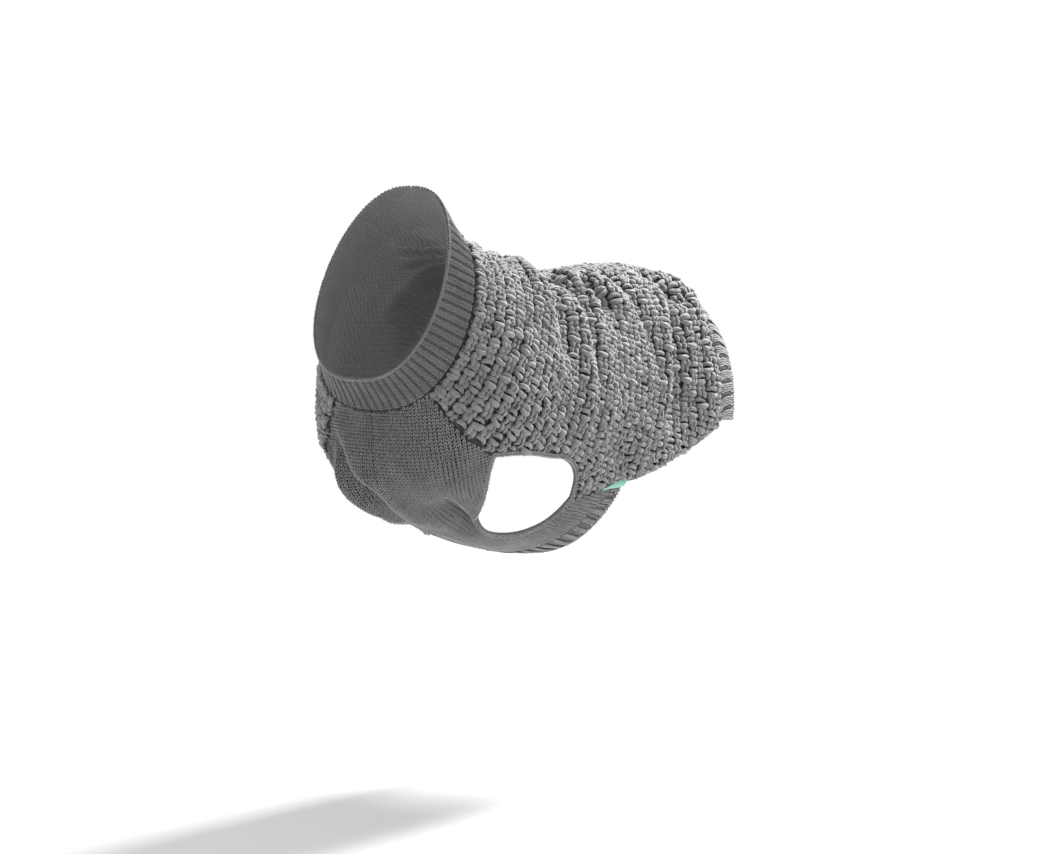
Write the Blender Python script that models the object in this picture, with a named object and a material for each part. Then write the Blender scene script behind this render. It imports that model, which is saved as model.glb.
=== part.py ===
"""Dog sweater, knitted, in the hollow form it has when a medium dog wears it.

Units are metres, +Z is up, the neck points to -Y and the wearer's left side is +X.
The origin is on the inside of the back panel at the withers, where the sweater hangs on the back.

Every piece lies on one hollow body form. A place on it is given by `along`, metres of back length
behind the collar seam, and `angle`, degrees round the body from the spine, plus to the left side.
Walls start on the inside of that form and are thickened outwards.
"""
import math
from collections import namedtuple

import bpy
import bmesh
import numpy as np
from mathutils import Vector

# ---------------------------------------------------------------- driving sizes, metres and degrees

GAP = 0.0003                  # clearance between two pieces at a seam
TRIM_GAP = 0.0005             # clearance between a panel's edge and the trim that follows it
BACK_WALL = 0.0040            # chunky seed stitch
CHEST_WALL = 0.0022           # fine plain knit
RIB_WALL = 0.0020             # ribbed bands between their ribs

COLLAR_RIBS = 72
COLLAR_RIB_HEIGHT = 0.0013
RUMP_RIBS = 30
BELLY_RIBS = 24
HEM_RIB_HEIGHT = 0.0018
COLLAR_LEAN = 22.0            # degrees that a collar rib moves round the neck, at most, on its way forward
COLLAR_LEAN_FROM = -30.0      # the angle where that lean is nil
COLLAR_TWIST = -4.0           # degrees that the whole free edge is turned
RUMP_LEAN = 3.5               # degrees that a rump rib moves up on its way back
BELLY_LEAN = 4.5              # degrees that a belly rib moves towards the keel on its way back

COLLAR_EDGE = -0.036          # free edge of the collar, ahead of its seam
ARMHOLE_FRONT = 0.078         # where chest seam and armhole meet
ARMHOLE_REAR = 0.168          # where armhole and side seam meet
SIDE_SEAM_END = 0.205         # rear end of the side seam
BELLY_CORNER = 0.213          # rear corner of the belly hem
RUMP_SEAM = 0.312             # back panel meets its ribbed hem
RUMP_EDGE = 0.348             # free edge of the rump hem
BELLY_SEAM_KEEL = 0.178       # belly hem's seam at the keel
BELLY_EDGE_KEEL = 0.204       # belly hem's free edge at the keel
BELLY_SWEEP = 1.8             # how late the belly hem turns back towards the side seams

BAND_WIDTH = 0.0034           # smooth trim round the armholes
BAND_THICK = 0.0026
SIDE_EDGE_WIDTH = 0.0022      # narrow binding on the back panel's lower edge
SIDE_EDGE_THICK = 0.0032

LABEL_FROM = 0.190
LABEL_TO = 0.216
LABEL_WIDTH = 0.0056
LABEL_TAPER = 0.35            # the front end's width as a share of the rear end's
LABEL_THICK = 0.0011
LABEL_LIFT = 0.0046           # from the inside face of the cloth to the label's own inside face

LOWER_FULLNESS = 0.076        # the body is this much wider below its middle
SIDE_FULLNESS = 0.805         # below 1 the sides are fuller than an ellipse
GIRTH_RADIUS = 0.100          # turns an angle into a distance round the body
FOLD_END = 0.35               # share of a fold's length over which each end fades out
PROBE = 0.0004                # step for a surface normal

# ---------------------------------------------------------------- how finely the pieces are divided

BACK_COLUMNS = 30
CHEST_COLUMNS = 22
RIB_COLUMNS = 3               # one in the valley, two on the broader crest
COLLAR_STEPS = 4              # rows across the collar
HEM_STEPS = 3                 # rows across each ribbed hem
BREAST_STEPS = 9              # rows from the collar to the armholes
SIDE_STEPS = 4                # rows along the side seam
FREE_STEPS = 11               # rows from the belly hem to the rump hem
LABEL_STEPS = 6
LABEL_COLUMNS = 2

# Cross-section of the trims, as shares of their width and thickness: square where they are sewn on.
TRIM_PROFILE = ((0.0, 0.0), (0.0, 1.0), (0.6, 1.0), (1.0, 0.7), (1.0, 0.3), (0.6, 0.0))
SHARPEST_MITRE = 0.5          # cosine at which a trim's corner stops growing

# ---------------------------------------------------------------- the body form

Section = namedtuple("Section", "along top_y top_z keel_y keel_z half_width")
SECTIONS = (
    Section(-0.036, -0.0755, 0.0530, -0.1385, -0.0880, 0.0570),    # neck edge
    Section(0.000, -0.0540, 0.0230, -0.1205, -0.1120, 0.0660),     # collar seam
    Section(0.060, 0.0000, 0.0000, -0.1105, -0.1660, 0.0845),      # withers and breast
    Section(0.140, 0.0755, -0.0210, -0.0175, -0.2200, 0.0815),     # rear of the armholes
    Section(0.220, 0.1545, -0.0160, 0.0880, -0.2370, 0.0800),      # flank
    Section(0.270, 0.2025, -0.0175, 0.1615, -0.2270, 0.0780),      # loin
    Section(0.312, 0.2430, -0.0300, 0.2245, -0.2100, 0.0750),      # rump seam
    Section(0.348, 0.2735, -0.0480, 0.2635, -0.2020, 0.0640),      # rump edge
)

# The sweater sits turned on the body: front seams lie this far round to the left, in degrees.
Turn = namedtuple("Turn", "along degrees")
TURN = (
    Turn(-0.036, -5.5),
    Turn(0.100, -5.5),
    Turn(0.150, -1.5),
    Turn(0.180, 0.0),
    Turn(0.348, 0.0),
)

# Half the angle that the back panel covers, and the angle where the chest panel starts.
Edge = namedtuple("Edge", "along degrees")
CHEST_SEAM = (
    Edge(0.000, 147.0),
    Edge(0.040, 139.0),
    Edge(0.078, 132.0),
)
ARMHOLE_TOP = (
    Edge(0.078, 132.0),
    Edge(0.093, 124.3),
    Edge(0.107, 118.8),
    Edge(0.123, 114.6),
    Edge(0.143, 111.0),
    Edge(0.155, 113.5),
    Edge(0.163, 119.0),
    Edge(0.168, 127.0),
)
ARMHOLE_BOTTOM = (
    Edge(0.078, 132.0),
    Edge(0.084, 139.5),
    Edge(0.093, 147.5),
    Edge(0.103, 156.0),
    Edge(0.114, 162.5),
    Edge(0.128, 166.0),
    Edge(0.142, 162.0),
    Edge(0.155, 151.5),
    Edge(0.164, 138.0),
    Edge(0.168, 127.0),
)
SIDE_SEAM = (
    Edge(0.168, 127.0),
    Edge(0.180, 123.5),
    Edge(0.192, 120.5),
    Edge(0.213, 118.0),
)
LOWER_EDGE = (
    Edge(0.213, 118.0),
    Edge(0.239, 116.0),
    Edge(0.260, 114.0),
    Edge(0.282, 111.5),
    Edge(0.300, 108.5),
    Edge(0.312, 105.5),
    Edge(0.348, 104.0),
)

# Folds of the worn cloth. Each runs from a to b, bowed sideways at its middle.
# A depth above 0 is a trough, below 0 a ridge. half_width is where it has fallen to a third.
Fold = namedtuple("Fold", "name along_a angle_a along_b angle_b bow half_width depth")
FOLDS = (
    Fold("breast crease", 0.022, -150.0, 0.134, -174.0, -0.016, 0.008, 0.0065),
    Fold("cloth over the right foreleg", 0.044, -150.0, 0.150, -167.0, 0.004, 0.022, -0.0110),
    Fold("pull at the left armhole", 0.080, 166.0, 0.132, 162.0, 0.000, 0.010, 0.0065),
    Fold("fullness over the left foreleg", 0.050, 150.0, 0.118, 143.0, 0.000, 0.018, -0.0030),
    Fold("dip across the back", 0.128, -34.0, 0.128, 34.0, 0.000, 0.011, 0.0030),
    Fold("shoulder crease, left", 0.070, 12.0, 0.108, 48.0, 0.000, 0.008, 0.0030),
    Fold("shoulder crease, right", 0.078, -10.0, 0.110, -52.0, 0.003, 0.009, 0.0030),
    Fold("back crease, left", 0.148, 10.0, 0.190, 52.0, 0.004, 0.008, 0.0032),
    Fold("back crease, right", 0.156, -14.0, 0.186, -60.0, 0.000, 0.008, 0.0028),
    Fold("loin crease, left", 0.236, 8.0, 0.288, 44.0, 0.000, 0.009, 0.0032),
    Fold("loin crease, right", 0.246, -12.0, 0.282, -50.0, 0.003, 0.009, 0.0030),
    Fold("ridge behind the left armhole", 0.126, 24.0, 0.176, 118.0, 0.012, 0.011, -0.0038),
    Fold("ridge behind the right armhole", 0.132, -30.0, 0.178, -116.0, -0.010, 0.012, -0.0036),
    Fold("flank trough, left", 0.306, 38.0, 0.250, 114.0, 0.012, 0.012, 0.0055),
    Fold("flank trough, right", 0.300, -44.0, 0.256, -112.0, -0.010, 0.012, 0.0050),
    Fold("flank ridge, left", 0.288, 70.0, 0.296, 110.0, 0.000, 0.009, -0.0026),
    Fold("flank ridge, right", 0.284, -74.0, 0.292, -110.0, 0.000, 0.010, -0.0024),
)


def smooth(table, column, at):
    """Cubic curve through one column of a table, read over the table's first column."""
    xs = np.array([row[0] for row in table])
    ys = np.array([getattr(row, column) for row in table])
    slopes = np.gradient(ys, xs)
    i = int(np.clip(np.searchsorted(xs, at) - 1, 0, len(xs) - 2))
    span = xs[i + 1] - xs[i]
    t = (at - xs[i]) / span
    keep, push = t * t * (3 - 2 * t), t * (1 - t)
    bend = push * ((1 - t) * slopes[i] - t * slopes[i + 1]) * span
    return float(ys[i] * (1 - keep) + ys[i + 1] * keep + bend)


def ease(share):
    """Soft step from 0 to 1."""
    share = min(max(share, 0.0), 1.0)
    return share * share * (3.0 - 2.0 * share)


def fold_depth(along, angle):
    """How far the folds push the cloth inwards here."""
    depth = 0.0
    for fold in FOLDS:
        run_along = fold.along_b - fold.along_a
        run_round = math.radians(fold.angle_b - fold.angle_a) * GIRTH_RADIUS
        here_along = along - fold.along_a
        turned = (angle - fold.angle_a + 180.0) % 360.0 - 180.0
        here_round = math.radians(turned) * GIRTH_RADIUS
        length = math.hypot(run_along, run_round)
        t = (here_along * run_along + here_round * run_round) / length ** 2
        if not 0.0 < t < 1.0:
            continue
        aside = (here_along * run_round - here_round * run_along) / length
        aside -= fold.bow * 4.0 * t * (1.0 - t)
        fade = ease(t / FOLD_END) * ease((1.0 - t) / FOLD_END)
        depth += fold.depth * fade * math.exp(-(aside / fold.half_width) ** 2)
    return depth


def plain_point(along, angle):
    """A place on the body form before the folds."""
    top_y, top_z, keel_y, keel_z, half_width = (
        smooth(SECTIONS, column, along) for column in Section._fields[1:])
    turn = math.radians(angle)
    down = (1.0 - math.cos(turn)) / 2.0
    aside = math.copysign(abs(math.sin(turn)) ** SIDE_FULLNESS, math.sin(turn))
    x = half_width * aside * (1.0 - LOWER_FULLNESS * math.cos(turn))
    return Vector((x, top_y + (keel_y - top_y) * down, top_z + (keel_z - top_z) * down))


def outwards(point, along, angle, place):
    """Unit normal of the form `place` at a point, pointing away from the body."""
    step = math.degrees(PROBE / GIRTH_RADIUS)
    lengthwise = place(along + PROBE, angle) - point
    roundwise = place(along, angle + step) - point
    return roundwise.cross(lengthwise).normalized()


def body_point(along, angle):
    """A place on the inside of the cloth, folds included."""
    point = plain_point(along, angle)
    return point - outwards(point, along, angle, plain_point) * fold_depth(along, angle)


def cloth(along, angle):
    """Inside point of the cloth and its outward normal."""
    point = body_point(along, angle)
    return point, outwards(point, along, angle, body_point)


def turned(along, degrees):
    """Angle of a seam on the left (plus) or right (minus), as the turned sweater has it."""
    return degrees + smooth(TURN, "degrees", along)


# ---------------------------------------------------------------- mesh tools

def material(name, colour, roughness):
    made = bpy.data.materials.new(name)
    made.use_nodes = True
    shader = made.node_tree.nodes["Principled BSDF"]
    shader.inputs["Base Color"].default_value = (*colour, 1.0)
    shader.inputs["Roughness"].default_value = roughness
    shader.inputs["Metallic"].default_value = 0.0
    return made


def add_object(name, mesh_data, finish):
    mesh = bpy.data.meshes.new(name)
    mesh_data.normal_update()
    mesh_data.to_mesh(mesh)
    mesh_data.free()
    mesh.materials.append(finish)
    mesh.shade_smooth()
    made = bpy.data.objects.new(name, mesh)
    bpy.context.scene.collection.objects.link(made)
    return made


def add_wall(name, inner, outer, finish, ring=False):
    """Close two grids of points, inner and outer, into one wall. In a ring the last column meets the first."""
    mesh = bmesh.new()
    inner = [[mesh.verts.new(point) for point in row] for row in inner]
    outer = [[mesh.verts.new(point) for point in row] for row in outer]
    rows, columns = len(inner), len(inner[0])
    last = columns if ring else columns - 1
    for i in range(rows - 1):
        for j in range(last):
            k = (j + 1) % columns
            mesh.faces.new((outer[i][j], outer[i][k], outer[i + 1][k], outer[i + 1][j]))
            mesh.faces.new((inner[i][j], inner[i + 1][j], inner[i + 1][k], inner[i][k]))
    for j in range(last):
        k = (j + 1) % columns
        mesh.faces.new((inner[0][j], inner[0][k], outer[0][k], outer[0][j]))
        mesh.faces.new((outer[-1][j], outer[-1][k], inner[-1][k], inner[-1][j]))
    if not ring:
        for i in range(rows - 1):
            mesh.faces.new((outer[i][0], outer[i + 1][0], inner[i + 1][0], inner[i][0]))
            mesh.faces.new((inner[i][-1], inner[i + 1][-1], outer[i + 1][-1], outer[i][-1]))
    bmesh.ops.recalc_face_normals(mesh, faces=mesh.faces)
    return add_object(name, mesh, finish)


def add_panel(name, places, thickness, finish, ring=False):
    """Wall over rows of (along, angle) places. thickness is a number, or a function of row and column."""
    inner, outer = [], []
    for i, row in enumerate(places):
        inner.append([])
        outer.append([])
        for j, (along, angle) in enumerate(row):
            point, normal = cloth(along, angle)
            deep = thickness(i, j) if callable(thickness) else thickness
            inner[-1].append(point)
            outer[-1].append(point + normal * deep)
    return add_wall(name, inner, outer, finish, ring)


def add_strip(name, line, width, thickness, finish, closed):
    """Narrow trim along a line of (along, angle) places, on the side that the line turns its left to."""
    points, normals = zip(*(cloth(along, angle) for along, angle in line))
    count = len(points)
    loops = []
    for i in range(count):
        before = points[i] - points[i - 1] if closed or i else points[1] - points[0]
        after = points[(i + 1) % count] - points[i] if closed or i < count - 1 else before
        asides = [normals[i].cross(step.normalized()).normalized() for step in (before, after)]
        middle = (asides[0] + asides[1]).normalized()
        mitre = middle / max(middle.dot(asides[0]), SHARPEST_MITRE)
        rise = normals[i] - middle * normals[i].dot(middle)
        loops.append([points[i] + mitre * (TRIM_GAP + width * w) + rise.normalized() * (thickness * h)
                      for w, h in TRIM_PROFILE])
    mesh = bmesh.new()
    loops = [[mesh.verts.new(point) for point in loop] for loop in loops]
    sides = len(TRIM_PROFILE)
    for i in range(count if closed else count - 1):
        here, there = loops[i], loops[(i + 1) % count]
        for j in range(sides):
            k = (j + 1) % sides
            mesh.faces.new((here[j], here[k], there[k], there[j]))
    if not closed:
        mesh.faces.new(loops[0])
        mesh.faces.new(loops[-1])
    bmesh.ops.recalc_face_normals(mesh, faces=mesh.faces)
    return add_object(name, mesh, finish)


def between(first, last, count):
    """count + 1 evenly spaced values."""
    return [first + (last - first) * k / count for k in range(count + 1)]


# ---------------------------------------------------------------- rows shared by the panels

BREAST_ROWS = between(0.0, ARMHOLE_FRONT, BREAST_STEPS)
ARMHOLE_ROWS = [0.081, 0.084, 0.0885, 0.093, 0.098, 0.103, 0.1085, 0.114, 0.121, 0.128, 0.135, 0.142,
                0.149, 0.155, 0.160, 0.164, 0.1665, ARMHOLE_REAR]
SIDE_ROWS = between(ARMHOLE_REAR, SIDE_SEAM_END, SIDE_STEPS)[1:]
FREE_ROWS = between(BELLY_CORNER, RUMP_SEAM, FREE_STEPS)


def back_edge(along):
    """Where the back panel ends, degrees from the spine before the turn."""
    if along <= ARMHOLE_FRONT:
        return smooth(CHEST_SEAM, "degrees", along)
    if along <= ARMHOLE_REAR:
        return smooth(ARMHOLE_TOP, "degrees", along)
    return smooth(SIDE_SEAM + LOWER_EDGE[1:], "degrees", along)


def chest_edge(along):
    """Where the chest panel starts, degrees from the spine before the turn."""
    if along <= ARMHOLE_FRONT:
        return smooth(CHEST_SEAM, "degrees", along)
    if along <= ARMHOLE_REAR:
        return smooth(ARMHOLE_BOTTOM, "degrees", along)
    return smooth(SIDE_SEAM, "degrees", along)


def half_gap(along, angle):
    """Half a seam's gap, in degrees round the body at this place."""
    step = 1.0
    reach = (plain_point(along, angle + step) - plain_point(along, angle)).length
    return step * GAP / 2.0 / reach


def span(along, edge, count):
    """Angles across the back from the right edge to the left one, each cut back by half a gap."""
    left = turned(along, edge(along))
    right = turned(along, -edge(along))
    return between(right + half_gap(along, right), left - half_gap(along, left), count)


def span_below(along, edge, count):
    """Angles under the belly from the left edge to the right one, each cut back by half a gap."""
    left = turned(along, edge(along))
    right = turned(along, 360.0 - edge(along))
    return between(left + half_gap(along, left), right - half_gap(along, right), count)


# ---------------------------------------------------------------- the pieces

for old in list(bpy.data.objects):
    bpy.data.objects.remove(old, do_unlink=True)

chunky = material("grey_chunky_knit", (0.36, 0.36, 0.36), 0.90)
plain = material("grey_plain_knit", (0.22, 0.22, 0.225), 0.90)
ribbed = material("grey_ribbed_knit", (0.24, 0.24, 0.245), 0.90)
woven = material("mint_label", (0.30, 0.62, 0.47), 0.70)


def back_panel():
    """Chunky panel over the back and both flanks, from the collar to the rump hem."""
    rows = BREAST_ROWS + ARMHOLE_ROWS + SIDE_ROWS + FREE_ROWS
    rows[0] += GAP / 2.0
    rows[-1] -= GAP / 2.0
    places = [[(along, angle) for angle in span(along, back_edge, BACK_COLUMNS)] for along in rows]
    return add_panel("back_panel", places, BACK_WALL, chunky)


def belly_line(share, along_side, along_keel):
    """Place along at a share of the way from left to right under the belly, furthest back at the sides."""
    aside = abs(2.0 * share - 1.0)
    return along_keel + (along_side - along_keel) * aside ** BELLY_SWEEP


def chest_panel():
    """Fine panel from the collar down the breast, between the forelegs and back to the belly hem."""
    rows = BREAST_ROWS + ARMHOLE_ROWS
    rows[0] += GAP / 2.0
    places = [[(along, angle) for angle in span_below(along, chest_edge, CHEST_COLUMNS)] for along in rows]
    for k in range(1, SIDE_STEPS + 1):
        row = []
        for j, angle in enumerate(span_below(SIDE_ROWS[k - 1], chest_edge, CHEST_COLUMNS)):
            rear = belly_line(j / CHEST_COLUMNS, SIDE_SEAM_END, BELLY_SEAM_KEEL) - GAP / 2.0
            row.append((ARMHOLE_REAR + (rear - ARMHOLE_REAR) * k / SIDE_STEPS, angle))
        places.append(row)
    return add_panel("chest_panel", places, CHEST_WALL, plain)


def rib_height(column, height):
    """Outer height of a column of points: the first of each rib is its valley."""
    return RIB_WALL + (height if column % RIB_COLUMNS else 0.0)


def collar():
    """Ribbed band round the neck. Its ribs run square to the seam, so they lean on the tilted neck."""
    columns = COLLAR_RIBS * RIB_COLUMNS
    rows = between(COLLAR_EDGE, -GAP / 2.0, COLLAR_STEPS)
    places = []
    for along in rows:
        row = []
        for angle in between(-180.0, 180.0, columns)[:-1]:
            lean = COLLAR_TWIST + COLLAR_LEAN * math.sin(math.radians(angle - COLLAR_LEAN_FROM))
            row.append((along, angle + lean * along / COLLAR_EDGE))
        places.append(row)
    return add_panel("collar", places, lambda i, j: rib_height(j, COLLAR_RIB_HEIGHT), ribbed, ring=True)


def rump_hem():
    """Ribbed band over the rump, from one lower corner of the back panel to the other."""
    columns = RUMP_RIBS * RIB_COLUMNS
    places = []
    for share in between(0.0, 1.0, HEM_STEPS):
        seam = RUMP_SEAM + GAP / 2.0
        along = seam + (RUMP_EDGE - seam) * share
        row = []
        for j, angle in enumerate(span(along, back_edge, columns)):
            aside = 2.0 * j / columns - 1.0
            row.append((along, angle - RUMP_LEAN * share * math.sin(math.pi * aside * abs(aside))))
        places.append(row)
    return add_panel("rump_hem", places, lambda i, j: rib_height(j, HEM_RIB_HEIGHT), ribbed)


def belly_hem():
    """Ribbed band under the belly, narrow where it meets the side seams."""
    columns = BELLY_RIBS * RIB_COLUMNS
    places = []
    for share in between(0.0, 1.0, HEM_STEPS):
        row = []
        corner = SIDE_SEAM_END + (BELLY_CORNER - SIDE_SEAM_END) * share
        for j, angle in enumerate(span_below(corner, chest_edge, columns)):
            seam = belly_line(j / columns, SIDE_SEAM_END, BELLY_SEAM_KEEL) + GAP / 2.0
            edge = belly_line(j / columns, BELLY_CORNER, BELLY_EDGE_KEEL)
            lean = BELLY_LEAN * share * math.sin(2.0 * math.pi * j / columns)
            row.append((seam + (edge - seam) * share, angle + lean))
        places.append(row)
    return add_panel("belly_hem", places, lambda i, j: rib_height(j, HEM_RIB_HEIGHT), ribbed)


def armhole_band(side, name):
    """Smooth trim round one armhole, inside the edges of both panels."""
    rows = [ARMHOLE_FRONT] + ARMHOLE_ROWS
    top = [(along, turned(along, side * smooth(ARMHOLE_TOP, "degrees", along))) for along in rows]
    bottom = [(along, turned(along, side * smooth(ARMHOLE_BOTTOM, "degrees", along))) for along in rows[1:-1]]
    loop = top + bottom[::-1]
    if side > 0:
        loop = loop[::-1]
    return add_strip(name, loop, BAND_WIDTH, BAND_THICK, plain, closed=True)


def side_edge(side, name):
    """Narrow binding on the lower edge of the back panel, from the belly hem to the rump hem."""
    rows = FREE_ROWS[:-1] + [RUMP_SEAM - GAP]
    rows[0] += 2.0 * GAP
    line = [(along, turned(along, side * smooth(LOWER_EDGE, "degrees", along))) for along in rows]
    if side > 0:
        line = line[::-1]
    return add_strip(name, line, SIDE_EDGE_WIDTH, SIDE_EDGE_THICK, plain, closed=False)


def label():
    """Small folded tab at the rear end of the left side seam."""
    inner, outer = [], []
    for along in between(LABEL_FROM, LABEL_TO, LABEL_STEPS):
        inner.append([])
        outer.append([])
        rearwards = (along - LABEL_FROM) / (LABEL_TO - LABEL_FROM)
        width = LABEL_WIDTH * (LABEL_TAPER + (1.0 - LABEL_TAPER) * ease(rearwards))
        for share in between(0.0, 1.0, LABEL_COLUMNS):
            drop = math.degrees(share * width / GIRTH_RADIUS)
            point, normal = cloth(along, smooth(SIDE_SEAM, "degrees", along) + drop)
            inner[-1].append(point + normal * LABEL_LIFT)
            outer[-1].append(point + normal * (LABEL_LIFT + LABEL_THICK))
    return add_wall("label", inner, outer, woven)


collar()
back_panel()
chest_panel()
rump_hem()
belly_hem()
armhole_band(1, "armhole_band_left")
armhole_band(-1, "armhole_band_right")
side_edge(1, "side_edge_left")
side_edge(-1, "side_edge_right")
label()
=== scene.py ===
"""Looks of the dog sweater: its knitted cloth, stitch by stitch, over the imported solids.

Units are metres, +Z is up, the neck points to -Y and the wearer's left side is +X.
"""
import math
from collections import namedtuple

import bpy
import numpy as np
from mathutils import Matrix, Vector


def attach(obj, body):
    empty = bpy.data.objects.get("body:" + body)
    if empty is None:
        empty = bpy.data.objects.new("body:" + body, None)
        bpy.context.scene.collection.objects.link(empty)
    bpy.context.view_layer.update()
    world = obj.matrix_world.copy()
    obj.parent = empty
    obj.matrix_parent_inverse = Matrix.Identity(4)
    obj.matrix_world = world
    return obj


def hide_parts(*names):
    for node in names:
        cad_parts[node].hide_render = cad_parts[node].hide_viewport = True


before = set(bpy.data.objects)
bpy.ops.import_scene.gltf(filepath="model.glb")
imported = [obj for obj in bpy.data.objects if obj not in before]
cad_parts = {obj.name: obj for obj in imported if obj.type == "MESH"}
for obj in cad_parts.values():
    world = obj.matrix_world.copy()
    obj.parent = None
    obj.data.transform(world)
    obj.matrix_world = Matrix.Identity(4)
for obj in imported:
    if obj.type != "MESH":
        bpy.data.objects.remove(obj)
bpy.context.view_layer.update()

# ================================================================ back panel
# The thick outer cloth over the back and both flanks. It is knitted sideways, from one lower edge over
# the spine to the other, in a thick soft wool: two rows of bars and two rows of legs, changing places
# at each stitch. Its edges are linked to the collar, the chest panel, the belly hem and the rump hem.

# The body form that all the pieces lie on. `along` is metres behind the collar seam.
Section = namedtuple("Section", "along top_y top_z keel_y keel_z half_width")
SECTIONS = (
    Section(-0.036, -0.0755, 0.0530, -0.1385, -0.0880, 0.0570),    # neck edge
    Section(0.000, -0.0540, 0.0230, -0.1205, -0.1120, 0.0660),     # collar seam
    Section(0.060, 0.0000, 0.0000, -0.1105, -0.1660, 0.0845),      # withers and breast
    Section(0.140, 0.0755, -0.0210, -0.0175, -0.2200, 0.0815),     # rear of the armholes
    Section(0.220, 0.1545, -0.0160, 0.0880, -0.2370, 0.0800),      # flank
    Section(0.270, 0.2025, -0.0175, 0.1615, -0.2270, 0.0780),      # loin
    Section(0.312, 0.2430, -0.0300, 0.2245, -0.2100, 0.0750),      # rump seam
    Section(0.348, 0.2735, -0.0480, 0.2635, -0.2020, 0.0640),      # rump edge
)
LOWER_FULLNESS = 0.076
SIDE_FULLNESS = 0.805
GIRTH_RADIUS = 0.100          # turns an angle into a distance round the body
FOLD_END = 0.35               # share of a fold's length over which each end fades out

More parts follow.
